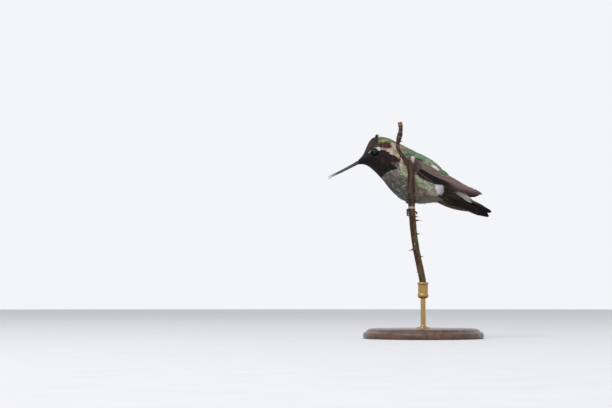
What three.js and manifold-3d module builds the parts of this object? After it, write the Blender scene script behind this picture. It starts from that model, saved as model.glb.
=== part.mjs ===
// A male Anna's hummingbird at life size, perched on a cut length of rose cane on a display stand.
// Millimetres, +Z up. The bird looks towards -X, its left side towards -Y.
// The origin is the centre of the stand's underside.

import * as THREE from "three";
import { mergeVertices } from "three/addons/utils/BufferGeometryUtils.js";
import Module from "manifold-3d";

const wasm = await Module();
wasm.setup();

// ---- Driving dimensions ----

const GAP = 0.3; // clearance between touching pieces
const LEFT = -1; // the bird's left side lies towards -Y
const RIGHT = 1;

// The trunk, wings and tail share one axis, which slopes down towards the tail.
const AXIS_CENTRE = [-4, 96];
const AXIS_SLOPE = THREE.MathUtils.degToRad(26.6);
const BODY_ROLL = THREE.MathUtils.degToRad(15); // belly turned towards the cane
const TAIL_ROLL = THREE.MathUtils.degToRad(44);
const ROLL_STARTS = [-20, -5]; // along the axis, where the neck takes up the body's roll
const TAIL_ROLL_STARTS = [12, 26];

// Sections of the body from the bill's base to the tips of the undertail coverts.
// Each is the point on the crown or back, the point on the throat or belly, and the half width.
const SECTIONS = [
  { top: [-38.3, 107.1], bottom: [-38.1, 104.4], half: 1.4 },
  { top: [-35.6, 110.2], bottom: [-35.8, 104.3], half: 2.9 },
  { top: [-33.3, 115.4], bottom: [-33.4, 103.6], half: 4.8 },
  { top: [-30.6, 119.8], bottom: [-31.0, 102.0], half: 6.4 },
  { top: [-26.0, 121.2], bottom: [-28.6, 99.8], half: 7.3 },
  { top: [-20.0, 120.0], bottom: [-25.9, 97.0], half: 8.1 },
  { top: [-14.5, 117.3], bottom: [-23.0, 93.8], half: 9.3 },
  { top: [-9.5, 114.9], bottom: [-19.8, 89.6], half: 10.6 },
  { top: [-4.5, 112.5], bottom: [-16.0, 85.6], half: 11.7 },
  { top: [0.5, 110.0], bottom: [-11.3, 82.4], half: 12.3 },
  { top: [5.0, 107.4], bottom: [-5.5, 80.8], half: 12.2 },
  { top: [9.0, 104.4], bottom: [1.0, 81.0], half: 11.2 },
  { top: [12.6, 100.8], bottom: [6.6, 81.8], half: 9.3 },
  { top: [15.8, 96.8], bottom: [11.2, 81.6], half: 7.4 },
  { top: [19.0, 92.4], bottom: [15.6, 79.6], half: 5.9 },
  { top: [23.5, 87.8], bottom: [20.2, 78.2], half: 4.8 },
  { top: [28.5, 83.8], bottom: [25.2, 77.0], half: 3.4 },
  { top: [31.6, 80.4], bottom: [30.2, 76.4], half: 1.4 },
];
const EGG = 0.08; // how much narrower a section is towards its top
const HEAD_ENDS = 6; // section numbers where the body is divided
const NECK_ENDS = 8.2;
const TRUNK_ENDS = 13;
const SECTION_GAP = 0.1; // in section numbers, about a third of a millimetre
const GORGET_TOP = 105.7; // height of the level cut between the face and the gorget

const EYE = { x: -28.8, y: 5.75, z: 111.1, radius: 2.2 };

// The two halves of the bill: distance from the base, then the height of the cutting edge over the
// bill's axis, the depth from there to the ridge or keel, and the half width.
const BILL_BASE = [-38.65, 105.75];
const BILL_TILT = THREE.MathUtils.degToRad(27.3);
const UPPER_BILL = [
  { at: 0.0, edge: -0.25, depth: 1.15, half: 1.3 },
  { at: 3.0, edge: -0.35, depth: 0.95, half: 1.05 },
  { at: 8.0, edge: -0.4, depth: 0.78, half: 0.8 },
  { at: 14.0, edge: -0.3, depth: 0.66, half: 0.68 },
  { at: 17.0, edge: 0.0, depth: 0.55, half: 0.55 },
  { at: 20.4, edge: 0.42, depth: 0.2, half: 0.16 },
];
const LOWER_BILL = [
  { at: 0.0, edge: -0.55, depth: -0.88, half: 1.2 },
  { at: 3.0, edge: -0.65, depth: -0.72, half: 1.0 },
  { at: 8.0, edge: -0.7, depth: -0.6, half: 0.74 },
  { at: 14.0, edge: -0.6, depth: -0.54, half: 0.64 },
  { at: 17.0, edge: -0.75, depth: -0.45, half: 0.5 },
  { at: 20.2, edge: -1.3, depth: -0.15, half: 0.16 },
];

// The folded wing, as a thin blade on the flank: distance along the body axis, then its upper and
// lower edges as height over the axis and distance from the mid-plane, before the body's roll.
const WING = [
  { at: -9.2, upper: [5.6, 10.6], lower: [3.6, 11.3] },
  { at: -7.0, upper: [7.9, 10.2], lower: [2.0, 12.3] },
  { at: -2.0, upper: [8.7, 10.3], lower: [0.5, 12.9] },
  { at: 3.0, upper: [9.0, 9.9], lower: [-0.3, 12.7] },
  { at: 9.0, upper: [9.1, 8.1], lower: [0.3, 10.7] },
  { at: 17.0, upper: [9.2, 4.4], lower: [1.9, 7.2] },
  { at: 25.0, upper: [8.9, 2.5], lower: [2.8, 4.8] },
  { at: 33.0, upper: [8.8, 1.8], lower: [4.4, 3.1] },
  { at: 37.8, upper: [8.9, 1.5], lower: [6.0, 2.3] },
  { at: 40.4, upper: [8.5, 1.4], lower: [7.4, 1.7] },
];
const WING_THICKNESS = 1.1;
const WING_EDGE = 0.5; // share of the thickness left at a section's upper and lower edges
const WING_CLEARANCE = 0.5; // between the wing and the body under it
const WING_CURVE = 0.09; // outward bow of a section, as a share of its height
const COVERTS_END = 3.2; // station numbers along the wing
const SECONDARIES_END = 5.3;
const WING_GAP = 0.05; // in station numbers
const SECONDARIES_LOWER = 0.46; // share of the blade's height, from its lower edge

// Five tail feathers on each side, from the middle pair outwards. Each lies offset from the bird's
// mid-plane at its root and turns outwards by fan, in degrees.
const TAIL_ROOT = [22.4, -0.2]; // along the body axis and over it
const TAIL_FEATHERS = [
  { length: 25.0, offset: 0.7, fan: 0.2, half: 2.2 },
  { length: 26.6, offset: 1.2, fan: 0.6, half: 2.3 },
  { length: 27.4, offset: 1.6, fan: 0.6, half: 2.2 },
  { length: 25.6, offset: 2.2, fan: 0.2, half: 2.0 },
  { length: 18.0, offset: 5.1, fan: -2.2, half: 1.4 },
];
const TAIL_THICKNESS = 0.55;
const TAIL_QUILL = 0.8; // half the feather's width at its root
const TAIL_STEP = 0.26; // each feather lies this much below its inner neighbour
const TAIL_SLOT = { top: 0.85, bottom: -1.9 };

// The cane: its centreline from the cut end in the stand's cup to the old cut at its head, and the
// side twig that grows on from there.
const CANE = [
  [0, 0, 26.4],
  [0, 0, 33],
  [-1.8, -1.3, 42],
  [-4.4, -3.8, 54],
  [-6.0, -6.7, 64],
  [-7.0, -9.9, 73],
  [-7.5, -12.2, 79],
  [-7.8, -14.3, 85.5],
  [-7.8, -15.6, 92],
  [-8.1, -15.8, 99.0],
  [-8.8, -15.8, 103.8],
];
const CANE_RADIUS = 2.05;
const TWIG = [
  [-8.6, -15.8, 100.5],
  [-11.0, -15.5, 104.9],
  [-13.9, -15.0, 109.2],
  [-15.7, -14.6, 113.0],
  [-15.2, -14.3, 117.2],
  [-14.0, -14.0, 121.8],
  [-13.8, -13.9, 125.0],
  [-14.3, -13.8, 128.0],
];
const TWIG_RADII = [1.5, 1.45, 1.2, 1.15, 1.05, 1.75, 1.2, 1.5];
const STUB = [
  [-8.5, -15.8, 101.6],
  [-7.3, -15.9, 104.6],
  [-6.7, -16.0, 107.2],
];

// Prickles: share of the way up the cane, bearing round it (0 towards +Y, 90 towards -X), length.
const PRICKLES = [
  { at: 0.28, bearing: -80, length: 2.2 },
  { at: 0.345, bearing: 85, length: 3.6 },
  { at: 0.458, bearing: -95, length: 2.8 },
  { at: 0.562, bearing: -85, length: 4.6 },
  { at: 0.596, bearing: -115, length: 3.2 },
  { at: 0.395, bearing: 170, length: 3.0 },
  { at: 0.83, bearing: 95, length: 4.2 },
  { at: 0.9, bearing: 105, length: 2.2 },
  { at: 0.925, bearing: -100, length: 1.8 },
  { at: 0.17, bearing: 40, length: 3.0 },
  { at: 0.44, bearing: 20, length: 3.2 },
];
const PRICKLE = { root: 0.75, tip: 0.12, droop: 0.16 }; // droop is a share of the length
const TWIG_PRICKLES = [
  { at: 0.3, bearing: 80, length: 2.2 },
  { at: 0.62, bearing: -80, length: 1.4 },
];

// Feet: share of the way up the cane where each grips, how many degrees round it the front toes
// reach from the side that faces the bird, and where the tarsus leaves the belly.
const FEET = [
  { name: "right", grip: 0.628, wrap: 118, hip: [-4.6, -1.6, 82.4] },
  { name: "left", grip: 0.722, wrap: 150, hip: [-4.2, -7.0, 86.0] },
];
const TOE_RADIUS = 0.5;
const PALM_RADIUS = 0.65;
const TARSUS_RADIUS = 0.62;
const CLAW_RADIUS = 0.42;
const TOE_LIFTS = [1.25, 0.05, -1.15]; // of the three front toes, along the cane
const TOE_STARTS = 12; // degrees round the cane, so that the toes overlap the palm
const HALLUX_ENDS = 96;
const CLAW_REACH = 46;

const BASE_RADIUS = 36;
const BASE_HEIGHT = 6;
const BASE_BEVEL = 1.2;
const ROD_RADIUS = 1.5;
const CUP = { bottom: 24, floor: 26, top: 33.5, outer: 3.3, inner: 2.45 };

// ---- Materials ----

const paint = (color, roughness, metalness = 0) =>
  new THREE.MeshStandardMaterial({ color, roughness, metalness });
const crownPaint = paint(0x6f7a55, 0.6);
const gorgetPaint = paint(0x2a2022, 0.45);
const bodyPaint = paint(0x7f8472, 0.7);
const covertPaint = paint(0x8b8a7c, 0.7);
const wingPaint = paint(0x6e5f5b, 0.6);
const tailPaint = paint(0x3a332e, 0.55);
const hornPaint = paint(0x1c1b1e, 0.35);
const eyePaint = paint(0x0c0a0a, 0.08);
const skinPaint = paint(0x2b282a, 0.6);
const barkPaint = paint(0x4f3a2a, 0.75);
const basePaint = paint(0x3b2a1e, 0.5);
const metalPaint = paint(0x9a9590, 0.35, 1);

// ---- Shape helpers ----

const point = (x, y, z) => new THREE.Vector3(x, y, z);
const smooth = THREE.MathUtils.smoothstep;
const mix = THREE.MathUtils.lerp;

// A uniform Catmull-Rom value through rows of numbers, at row number t.
function through(rows, t) {
  const last = rows.length - 1;
  const i = Math.min(Math.max(Math.floor(t), 0), last - 1);
  const f = t - i;
  const [a, b, c, d] = [i - 1, i, i + 1, i + 2].map((k) => rows[Math.min(Math.max(k, 0), last)]);
  return b.map((_, k) => {
    const slopeIn = (c[k] - a[k]) / 2;
    const slopeOut = (d[k] - b[k]) / 2;
    const rise = c[k] - b[k];
    return b[k] + f * (slopeIn + f * (3 * rise - 2 * slopeIn - slopeOut + f * (slopeIn + slopeOut - 2 * rise)));
  });
}

// A geometry as a manifold solid that faces outwards.
function solid(geometry) {
  const bare = geometry.clone();
  bare.deleteAttribute("normal");
  bare.deleteAttribute("uv");
  const merged = mergeVertices(bare, 1e-4);
  const vertProperties = new Float32Array(merged.attributes.position.array);
  const build = (triVerts) => new wasm.Manifold(new wasm.Mesh({ numProp: 3, vertProperties, triVerts }));
  const triangles = new Uint32Array(merged.index.array);
  const made = build(triangles);
  return made.volume() < 0 ? build(triangles.reverse()) : made;
}

const union = (solids) => solids.reduce((a, b) => a.add(b));

// A closed surface through rings of equal count, with a fan over each end.
function loft(rings) {
  const count = rings[0].length;
  const points = rings.flat();
  const index = [];
  for (let r = 0; r < rings.length - 1; r++) {
    for (let k = 0; k < count; k++) {
      const a = r * count + k;
      const b = r * count + ((k + 1) % count);
      index.push(a, b, b + count, a, b + count, a + count);
    }
  }
  [0, rings.length - 1].forEach((r) => {
    const middle = rings[r].reduce((sum, p) => sum.add(p), point(0, 0, 0)).divideScalar(count);
    const hub = points.push(middle) - 1;
    for (let k = 0; k < count; k++) {
      const a = r * count + k;
      const b = r * count + ((k + 1) % count);
      index.push(...(r ? [a, b, hub] : [b, a, hub]));
    }
  });
  return solid(new THREE.BufferGeometry().setFromPoints(points).setIndex(index));
}

// A round tube through points, its radius given at each share of its length.
function tube(points, radiusAt, sides, steps) {
  const curve = new THREE.CatmullRomCurve3(points);
  const frames = curve.computeFrenetFrames(steps);
  const rings = [];
  for (let i = 0; i <= steps; i++) {
    const centre = curve.getPointAt(i / steps);
    const radius = radiusAt(i / steps);
    const ring = [];
    for (let k = 0; k < sides; k++) {
      const turn = (2 * Math.PI * k) / sides;
      const across = frames.normals[i].clone().multiplyScalar(radius * Math.cos(turn));
      ring.push(across.addScaledVector(frames.binormals[i], radius * Math.sin(turn)).add(centre));
    }
    rings.push(ring);
  }
  return loft(rings);
}

function meshOf(name, made, material) {
  const got = made.getMesh();
  const geometry = new THREE.BufferGeometry();
  geometry.setAttribute("position", new THREE.BufferAttribute(got.vertProperties, got.numProp));
  geometry.setIndex(new THREE.BufferAttribute(got.triVerts, 1));
  const mesh = new THREE.Mesh(geometry, material);
  mesh.name = name;
  return mesh;
}

// ---- The body axis frame: s along it, h above it, y across ----

const ALONG = point(Math.cos(AXIS_SLOPE), 0, -Math.sin(AXIS_SLOPE));
const ABOVE = point(Math.sin(AXIS_SLOPE), 0, Math.cos(AXIS_SLOPE));
const CENTRE = point(AXIS_CENTRE[0], 0, AXIS_CENTRE[1]);

// The place of (s, h, y) once everything has turned about the axis by roll.
function onAxis(s, h, y, roll) {
  const height = h * Math.cos(roll) - y * Math.sin(roll);
  const across = y * Math.cos(roll) + h * Math.sin(roll);
  return CENTRE.clone().addScaledVector(ALONG, s).addScaledVector(ABOVE, height).setY(across);
}

function rollAt(s) {
  const body = BODY_ROLL * smooth(s, ...ROLL_STARTS);
  return body + (TAIL_ROLL - BODY_ROLL) * smooth(s, ...TAIL_ROLL_STARTS);
}

// ---- Head, neck, trunk and tail coverts: one long form, divided across ----

const SECTION_ROWS = SECTIONS.map(({ top, bottom, half }) => [...top, ...bottom, half]);
const RING_SIDES = 20;

function bodyRing(t) {
  const [topX, topZ, bottomX, bottomZ, half] = through(SECTION_ROWS, t);
  const middle = [(topX + bottomX) / 2, (topZ + bottomZ) / 2];
  const ring = [];
  for (let k = 0; k < RING_SIDES; k++) {
    const turn = (2 * Math.PI * k) / RING_SIDES;
    const x = middle[0] + ((topX - bottomX) / 2) * Math.cos(turn);
    const z = middle[1] + ((topZ - bottomZ) / 2) * Math.cos(turn);
    const y = half * Math.sin(turn) * (1 - EGG * Math.cos(turn));
    const fromCentre = point(x, 0, z).sub(CENTRE);
    const s = fromCentre.dot(ALONG);
    ring.push(onAxis(s, fromCentre.dot(ABOVE), y, rollAt(s)));
  }
  return ring;
}

function bodyLength(from, to, steps) {
  const rings = [];
  for (let i = 0; i <= steps; i++) {
    rings.push(bodyRing(mix(from, to, i / steps)));
  }
  return loft(rings);
}

function box(width, depth, height, at) {
  return solid(new THREE.BoxGeometry(width, depth, height).translate(...at));
}

function eyeball(side, radius) {
  const ball = new THREE.SphereGeometry(radius, 12, 7);
  return solid(ball.translate(EYE.x, side * EYE.y, EYE.z));
}

function headParts() {
  const whole = bodyLength(0, HEAD_ENDS, 12);
  const plate = box(60, 40, GAP, [-30, 0, GORGET_TOP]);
  const [upper, lower] = whole
    .subtract(plate)
    .decompose()
    .sort((a, b) => b.boundingBox().max[2] - a.boundingBox().max[2]);
  const sockets = [LEFT, RIGHT].map((side) => eyeball(side, EYE.radius + GAP));
  return { head: upper.subtract(union(sockets)), gorget: lower };
}

// ---- Bill ----

function billHalf(stations) {
  const rows = stations.map(({ at, edge, depth, half }) => [at, edge, depth, half]);
  const rings = [];
  const steps = 11;
  const sides = 7;
  for (let i = 0; i <= steps; i++) {
    const [at, edge, depth, half] = through(rows, ((rows.length - 1) * i) / steps);
    const ring = [];
    for (let k = 0; k <= sides; k++) {
      const turn = (Math.PI * k) / sides;
      const up = (edge + depth * Math.sin(turn)) / Math.cos(BILL_TILT);
      const x = BILL_BASE[0] - at * Math.cos(BILL_TILT);
      const z = BILL_BASE[1] - at * Math.sin(BILL_TILT) + up;
      ring.push(point(x, half * Math.cos(turn), z));
    }
    rings.push(ring);
  }
  return loft(rings);
}

// ---- Wings ----

const WING_ROWS = WING.map(({ at, upper, lower }) => [at, ...upper, ...lower]);

// One section of the blade, between two shares of its height, grown by margin all round.
function bladeRing(t, from, to, side, margin) {
  const [s, upperH, upperY, lowerH, lowerY] = through(WING_ROWS, t);
  const height = Math.hypot(upperH - lowerH, upperY - lowerY);
  const reach = margin / height;
  const half = WING_THICKNESS / 2 + margin;
  const count = 6;
  const outward = point(0, upperH - lowerH, lowerY - upperY).normalize();
  const skin = [];
  for (let k = 0; k <= count; k++) {
    const share = mix(from - reach, to + reach, k / count);
    const bow = WING_CURVE * height * Math.sin(Math.PI * THREE.MathUtils.clamp(share, 0, 1));
    const rounding = Math.sin((Math.PI * k) / count) ** 0.4;
    const thin = half * mix(WING_EDGE, 1, rounding);
    skin.push({ share, bow, thin });
  }
  const place = ({ share, bow }, offset) => {
    const h = mix(lowerH, upperH, share) + (bow + offset) * outward.z;
    const y = mix(lowerY, upperY, share) + (bow + offset) * outward.y;
    return onAxis(s, h, side * y, BODY_ROLL);
  };
  const outside = skin.map((p) => place(p, p.thin));
  const inside = skin.map((p) => place(p, -p.thin)).reverse();
  return [...outside, ...inside];
}

function blade(span, from, to, side, margin, steps) {
  const rings = [];
  for (let i = 0; i <= steps; i++) {
    rings.push(bladeRing(mix(...span, i / steps), from, to, side, margin));
  }
  return loft(rings);
}

function wingParts(side) {
  const last = WING_ROWS.length - 1;
  const inner = [COVERTS_END + WING_GAP, SECONDARIES_END];
  const split = SECONDARIES_LOWER;
  const long = blade([COVERTS_END + WING_GAP, last], 0, 1, side, 0, 10);
  const room = blade([COVERTS_END - 1, SECONDARIES_END + WING_GAP], split, 1.2, side, GAP, 4);
  return {
    coverts: blade([0, COVERTS_END], 0, 1, side, 0, 6),
    secondaries: blade(inner, split + 0.04, 1, side, 0, 4),
    primaries: long.subtract(room),
  };
}

const wingSpace = (side) => blade([0, WING_ROWS.length - 1], 0, 1, side, WING_CLEARANCE, 8);

// ---- Tail ----

function tailFeather({ length, half }) {
  const outline = new THREE.Shape();
  outline.moveTo(0, -TAIL_QUILL);
  outline.quadraticCurveTo(length * 0.3, -half, length * 0.7, -half);
  outline.quadraticCurveTo(length * 0.97, -half * 0.9, length, 0);
  outline.quadraticCurveTo(length * 0.97, half * 0.9, length * 0.7, half);
  outline.quadraticCurveTo(length * 0.3, half, 0, TAIL_QUILL);
  outline.closePath();
  return new THREE.ExtrudeGeometry(outline, {
    depth: TAIL_THICKNESS,
    bevelEnabled: false,
    curveSegments: 3,
  });
}

// The tail's own frame: x along it from its root, y across, z towards its upper side.
function tailFrame() {
  const across = onAxis(0, 0, 1, TAIL_ROLL).sub(CENTRE);
  const over = onAxis(0, 1, 0, TAIL_ROLL).sub(CENTRE);
  const frame = new THREE.Matrix4().makeBasis(ALONG, across, over);
  return frame.setPosition(onAxis(TAIL_ROOT[0], TAIL_ROOT[1], 0, TAIL_ROLL));
}

function tailHalf(side) {
  const frame = tailFrame();
  const feathers = TAIL_FEATHERS.map((feather, i) => {
    const geometry = tailFeather(feather);
    geometry.rotateZ(side * THREE.MathUtils.degToRad(feather.fan));
    geometry.translate(0, side * feather.offset, -TAIL_STEP * i);
    return solid(geometry.applyMatrix4(frame));
  });
  const otherSide = box(80, 40, 20, [20, -side * (20 - GAP / 2), 0]);
  return union(feathers).subtract(otherSide.transform(frame.elements));
}

function tailSlot() {
  const middle = (TAIL_SLOT.top + TAIL_SLOT.bottom) / 2;
  const slab = box(40, 30, TAIL_SLOT.top - TAIL_SLOT.bottom, [20 - GAP, 0, middle]);
  return slab.transform(tailFrame().elements);
}

// ---- Cane ----

const toPoints = (rows) => rows.map((row) => point(...row));
const caneCurve = new THREE.CatmullRomCurve3(toPoints(CANE));
const twigCurve = new THREE.CatmullRomCurve3(toPoints(TWIG));

// The direction straight out from a curve at a bearing: 0 faces +Y, 90 faces -X.
function outFrom(curve, share, bearing) {
  const tangent = curve.getTangentAt(share);
  const turn = THREE.MathUtils.degToRad(bearing);
  const out = point(-Math.sin(turn), Math.cos(turn), 0);
  return out.addScaledVector(tangent, -out.dot(tangent)).normalize();
}

function prickle(curve, radius, { at, bearing, length }) {
  const out = outFrom(curve, at, bearing);
  const down = curve.getTangentAt(at).negate();
  const sunk = radius * 0.4; // its root starts inside the bark
  const root = curve.getPointAt(at).addScaledVector(out, radius - sunk);
  const reach = sunk + length;
  const route = [0, 0.55, 1].map((share) =>
    root
      .clone()
      .addScaledVector(out, share * reach)
      .addScaledVector(down, share ** 2 * PRICKLE.droop * length),
  );
  return tube(route, (share) => mix(PRICKLE.root, PRICKLE.tip, share ** 0.6), 5, 2);
}

function cane() {
  const main = tube(toPoints(CANE), () => CANE_RADIUS, 10, 18);
  const radii = TWIG_RADII.map((radius) => [radius]);
  const twigRadius = (share) => through(radii, share * (radii.length - 1))[0];
  const twig = tube(toPoints(TWIG), twigRadius, 8, 12);
  const stub = tube(toPoints(STUB), (share) => mix(1.5, 0.7, share), 6, 2);
  const prickles = PRICKLES.map((p) => prickle(caneCurve, CANE_RADIUS, p));
  const small = TWIG_PRICKLES.map((p) => prickle(twigCurve, 1.2, p));
  return union([main, twig, stub, ...prickles, ...small]);
}

// ---- Legs, toes and claws ----

// A point round the cane: degrees from the side that faces the bird, lift along the cane.
function roundCane(grip, bearing, lift, radius) {
  const tangent = caneCurve.getTangentAt(grip);
  const centre = caneCurve.getPointAt(grip).addScaledVector(tangent, lift);
  return centre.addScaledVector(outFrom(caneCurve, grip, bearing), radius);
}

function toePoints(grip, lift, sign, from, to, drop) {
  const ride = CANE_RADIUS + TOE_RADIUS + GAP;
  const points = [];
  for (let i = 0; i <= 6; i++) {
    const share = i / 6;
    points.push(roundCane(grip, sign * mix(from, to, share), lift + drop * share, ride));
  }
  return points;
}

// The tarsus from where it leaves the belly to the foot, grown by margin.
function tarsus({ grip, hip }, margin) {
  const heel = roundCane(grip, 0, 0, CANE_RADIUS + PALM_RADIUS + GAP);
  const knee = heel.clone().lerp(point(...hip), 0.45).add(point(0, 0, -0.5));
  return tube([point(...hip), knee, heel], () => TARSUS_RADIUS + margin, 6, 4);
}

function legSpace(foot) {
  const hip = new THREE.SphereGeometry(TARSUS_RADIUS + 2 * GAP, 8, 6);
  return tarsus(foot, GAP).add(solid(hip.translate(...foot.hip)));
}

function footParts(foot) {
  const { name, grip, wrap } = foot;
  const front = TOE_LIFTS.map((lift) => ({ lift, sign: 1, to: wrap, drop: lift * 0.25 }));
  const toes = [...front, { lift: -0.4, sign: -1, to: HALLUX_ENDS, drop: -0.3 }];
  const solids = toes.map(({ lift, sign, to, drop }) =>
    tube(toePoints(grip, lift, sign, -sign * TOE_STARTS, to, drop), () => TOE_RADIUS, 5, 5),
  );
  const across = [1.7, 0, -1.6].map((lift) => roundCane(grip, 0, lift, CANE_RADIUS + PALM_RADIUS + GAP));
  const palm = tube(across, () => PALM_RADIUS, 6, 3);
  const claws = toes.map(({ lift, sign, to, drop }, i) => {
    const start = to + THREE.MathUtils.radToDeg(GAP / (CANE_RADIUS + TOE_RADIUS));
    const path = toePoints(grip, lift + drop, sign, start, start + CLAW_REACH, -0.5);
    return [`claw_${name}_${i + 1}`, tube(path, (share) => mix(CLAW_RADIUS, 0.1, share), 5, 4)];
  });
  return { name, leg: union([...solids, palm, tarsus(foot, 0)]), claws };
}

// ---- Stand ----

function turned(profile, segments) {
  const points = profile.map(([radius, height]) => new THREE.Vector2(radius, height));
  return solid(new THREE.LatheGeometry(points, segments).rotateX(Math.PI / 2));
}

function standBase() {
  return turned(
    [
      [0, 0],
      [BASE_RADIUS - BASE_BEVEL / 2, 0],
      [BASE_RADIUS, BASE_BEVEL / 2],
      [BASE_RADIUS, BASE_HEIGHT - BASE_BEVEL],
      [BASE_RADIUS - BASE_BEVEL, BASE_HEIGHT],
      [0, BASE_HEIGHT],
    ],
    40,
  );
}

function standRod() {
  return turned(
    [
      [0, BASE_HEIGHT + GAP],
      [ROD_RADIUS, BASE_HEIGHT + GAP],
      [ROD_RADIUS, CUP.bottom - GAP],
      [0, CUP.bottom - GAP],
    ],
    16,
  );
}

function standCup() {
  return turned(
    [
      [0, CUP.bottom],
      [CUP.outer - 1.2, CUP.bottom],
      [CUP.outer, CUP.bottom + 1.6],
      [CUP.outer, CUP.top],
      [CUP.inner, CUP.top],
      [CUP.inner, CUP.floor],
      [0, CUP.floor],
    ],
    16,
  );
}

// ---- Assembly ----

const hummingbird = new THREE.Group();
const put = (name, made, material) => hummingbird.add(meshOf(name, made, material));

const { head, gorget } = headParts();
put("head", head, crownPaint);
put("gorget", gorget, gorgetPaint);
put("upper_bill", billHalf(UPPER_BILL), hornPaint);
put("lower_bill", billHalf(LOWER_BILL), hornPaint);
put("eye_left", eyeball(LEFT, EYE.radius), eyePaint);
put("eye_right", eyeball(RIGHT, EYE.radius), eyePaint);

const wingSpaces = union([wingSpace(LEFT), wingSpace(RIGHT)]);
const legSpaces = union(FEET.map(legSpace));
const neck = bodyLength(HEAD_ENDS + SECTION_GAP, NECK_ENDS, 5);
const trunk = bodyLength(NECK_ENDS + SECTION_GAP, TRUNK_ENDS, 9);
const coverts = bodyLength(TRUNK_ENDS + SECTION_GAP, SECTIONS.length - 1, 8);
put("neck", neck.subtract(wingSpaces), bodyPaint);
put("trunk", trunk.subtract(wingSpaces).subtract(legSpaces), bodyPaint);
put("tail_coverts", coverts.subtract(wingSpaces).subtract(tailSlot()), covertPaint);

[
  ["left", LEFT],
  ["right", RIGHT],
].forEach(([name, side]) => {
  const wing = wingParts(side);
  put(`wing_${name}_coverts`, wing.coverts, wingPaint);
  put(`wing_${name}_secondaries`, wing.secondaries, wingPaint);
  put(`wing_${name}_primaries`, wing.primaries, wingPaint);
  put(`tail_${name}`, tailHalf(side), tailPaint);
});

FEET.map(footParts).forEach(({ name, leg, claws }) => {
  put(`leg_${name}`, leg, skinPaint);
  claws.forEach(([clawName, claw]) => put(clawName, claw, hornPaint));
});

put("perch_cane", cane(), barkPaint);
put("stand_base", standBase(), basePaint);
put("stand_rod", standRod(), metalPaint);
put("stand_cup", standCup(), metalPaint);

export default hummingbird;
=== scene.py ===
"""The looks of the perched hummingbird: skin, plumage, bill, eyes, feet, cane and stand.

Lengths are millimetres in the CAD's frame (+Z up, the bird looks towards -X and its left side is
towards -Y) until a mesh is made, which is in metres. Colours are sRGB, 0 to 255, until they are
used, unless a name or a comment says that they are linear.
"""

import math

import bmesh
import bpy
import numpy as np
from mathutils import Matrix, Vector
from mathutils.bvhtree import BVHTree


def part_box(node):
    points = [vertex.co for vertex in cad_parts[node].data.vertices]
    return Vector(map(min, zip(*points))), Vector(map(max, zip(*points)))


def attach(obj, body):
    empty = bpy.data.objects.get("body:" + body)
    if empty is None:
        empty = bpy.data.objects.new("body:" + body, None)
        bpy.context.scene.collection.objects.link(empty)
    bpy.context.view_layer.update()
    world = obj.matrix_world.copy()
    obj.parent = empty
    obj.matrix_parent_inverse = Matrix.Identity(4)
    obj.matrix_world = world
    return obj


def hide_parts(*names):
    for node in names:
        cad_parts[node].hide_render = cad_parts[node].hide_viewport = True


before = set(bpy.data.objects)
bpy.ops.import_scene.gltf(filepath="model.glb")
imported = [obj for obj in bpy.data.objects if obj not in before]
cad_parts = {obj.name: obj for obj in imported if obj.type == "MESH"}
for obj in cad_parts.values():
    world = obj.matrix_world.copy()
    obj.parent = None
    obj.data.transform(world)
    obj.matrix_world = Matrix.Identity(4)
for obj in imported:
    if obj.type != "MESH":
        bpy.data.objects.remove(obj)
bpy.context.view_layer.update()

MM = 0.001
LEFT, RIGHT = -1, 1
SIDE_NAMES = {LEFT: "left", RIGHT: "right"}
rng = np.random.default_rng(11)


# ---- Small sums ----


def smooth(x, start, end):
    """0 up to start and 1 from end, with a smooth step between them."""
    t = np.clip((np.asarray(x, float) - start) / (end - start), 0, 1)
    return t * t * (3 - 2 * t)


def mix(a, b, share):
    return a + (b - a) * share


def unit(vectors):
    return vectors / np.maximum(np.linalg.norm(vectors, axis=-1, keepdims=True), 1e-9)


def linear(colours):
    """sRGB colours, 0 to 255, as linear light."""
    c = np.asarray(colours, float) / 255
    return np.where(c <= 0.04045, c / 12.92, ((c + 0.055) / 1.055) ** 2.4)


# ---- Material nodes ----

BLACK, WHITE = (0.0,) * 3, (1.0,) * 3  # linear, as are the colours that these functions take


def new_look(name):
    look = bpy.data.materials.new(name)
    look.use_nodes = True
    return look, look.node_tree, look.node_tree.nodes["Principled BSDF"]


def feed(tree, node, inputs):
    """Gives a node's inputs a value each, or the output that feeds it."""
    for key, value in inputs.items():
        if isinstance(value, bpy.types.NodeSocket):
            tree.links.new(value, node.inputs[key])
        else:
            node.inputs[key].default_value = value


def add(tree, kind, inputs=None, **settings):
    node = tree.nodes.new("ShaderNode" + kind)
    for key, value in settings.items():
        setattr(node, key, value)
    feed(tree, node, inputs or {})
    return node


def maths(tree, operation, *values):
    """The output of a sum of one to three values or outputs."""
    return add(tree, "Math", dict(enumerate(values)), operation=operation).outputs[0]


def ramp(tree, factor, stops):
    """A colour ramp's colour, with stops as (place, colour)."""
    node = add(tree, "ValToRGB", {"Fac": factor})
    elements = node.color_ramp.elements
    while len(elements) < len(stops):
        elements.new(0.5)
    for element, (place, colour) in zip(elements, stops):
        element.position = place
        element.color = (*colour, 1)
    return node.outputs["Color"]


def ranged(tree, value, low, high):
    return add(tree, "MapRange", {"Value": value, "To Min": low, "To Max": high}).outputs[0]


def tinted(tree, factor, a, b, mode="MIX"):
    """A mix of two colours, each a colour or an output."""
    inputs = {0: factor, 6: a, 7: b}
    given = {k: (*v, 1) if isinstance(v, tuple) else v for k, v in inputs.items()}
    return add(tree, "Mix", given, data_type="RGBA", blend_type=mode).outputs[2]


def shade(tree, colour, factor, low, high):
    """A colour made darker or lighter, from low to high, by a factor from 0 to 1."""
    tone = ramp(tree, factor, [(0.25, (low,) * 3), (0.75, (high,) * 3)])
    return tinted(tree, 1.0, colour, tone, "MULTIPLY")


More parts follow.
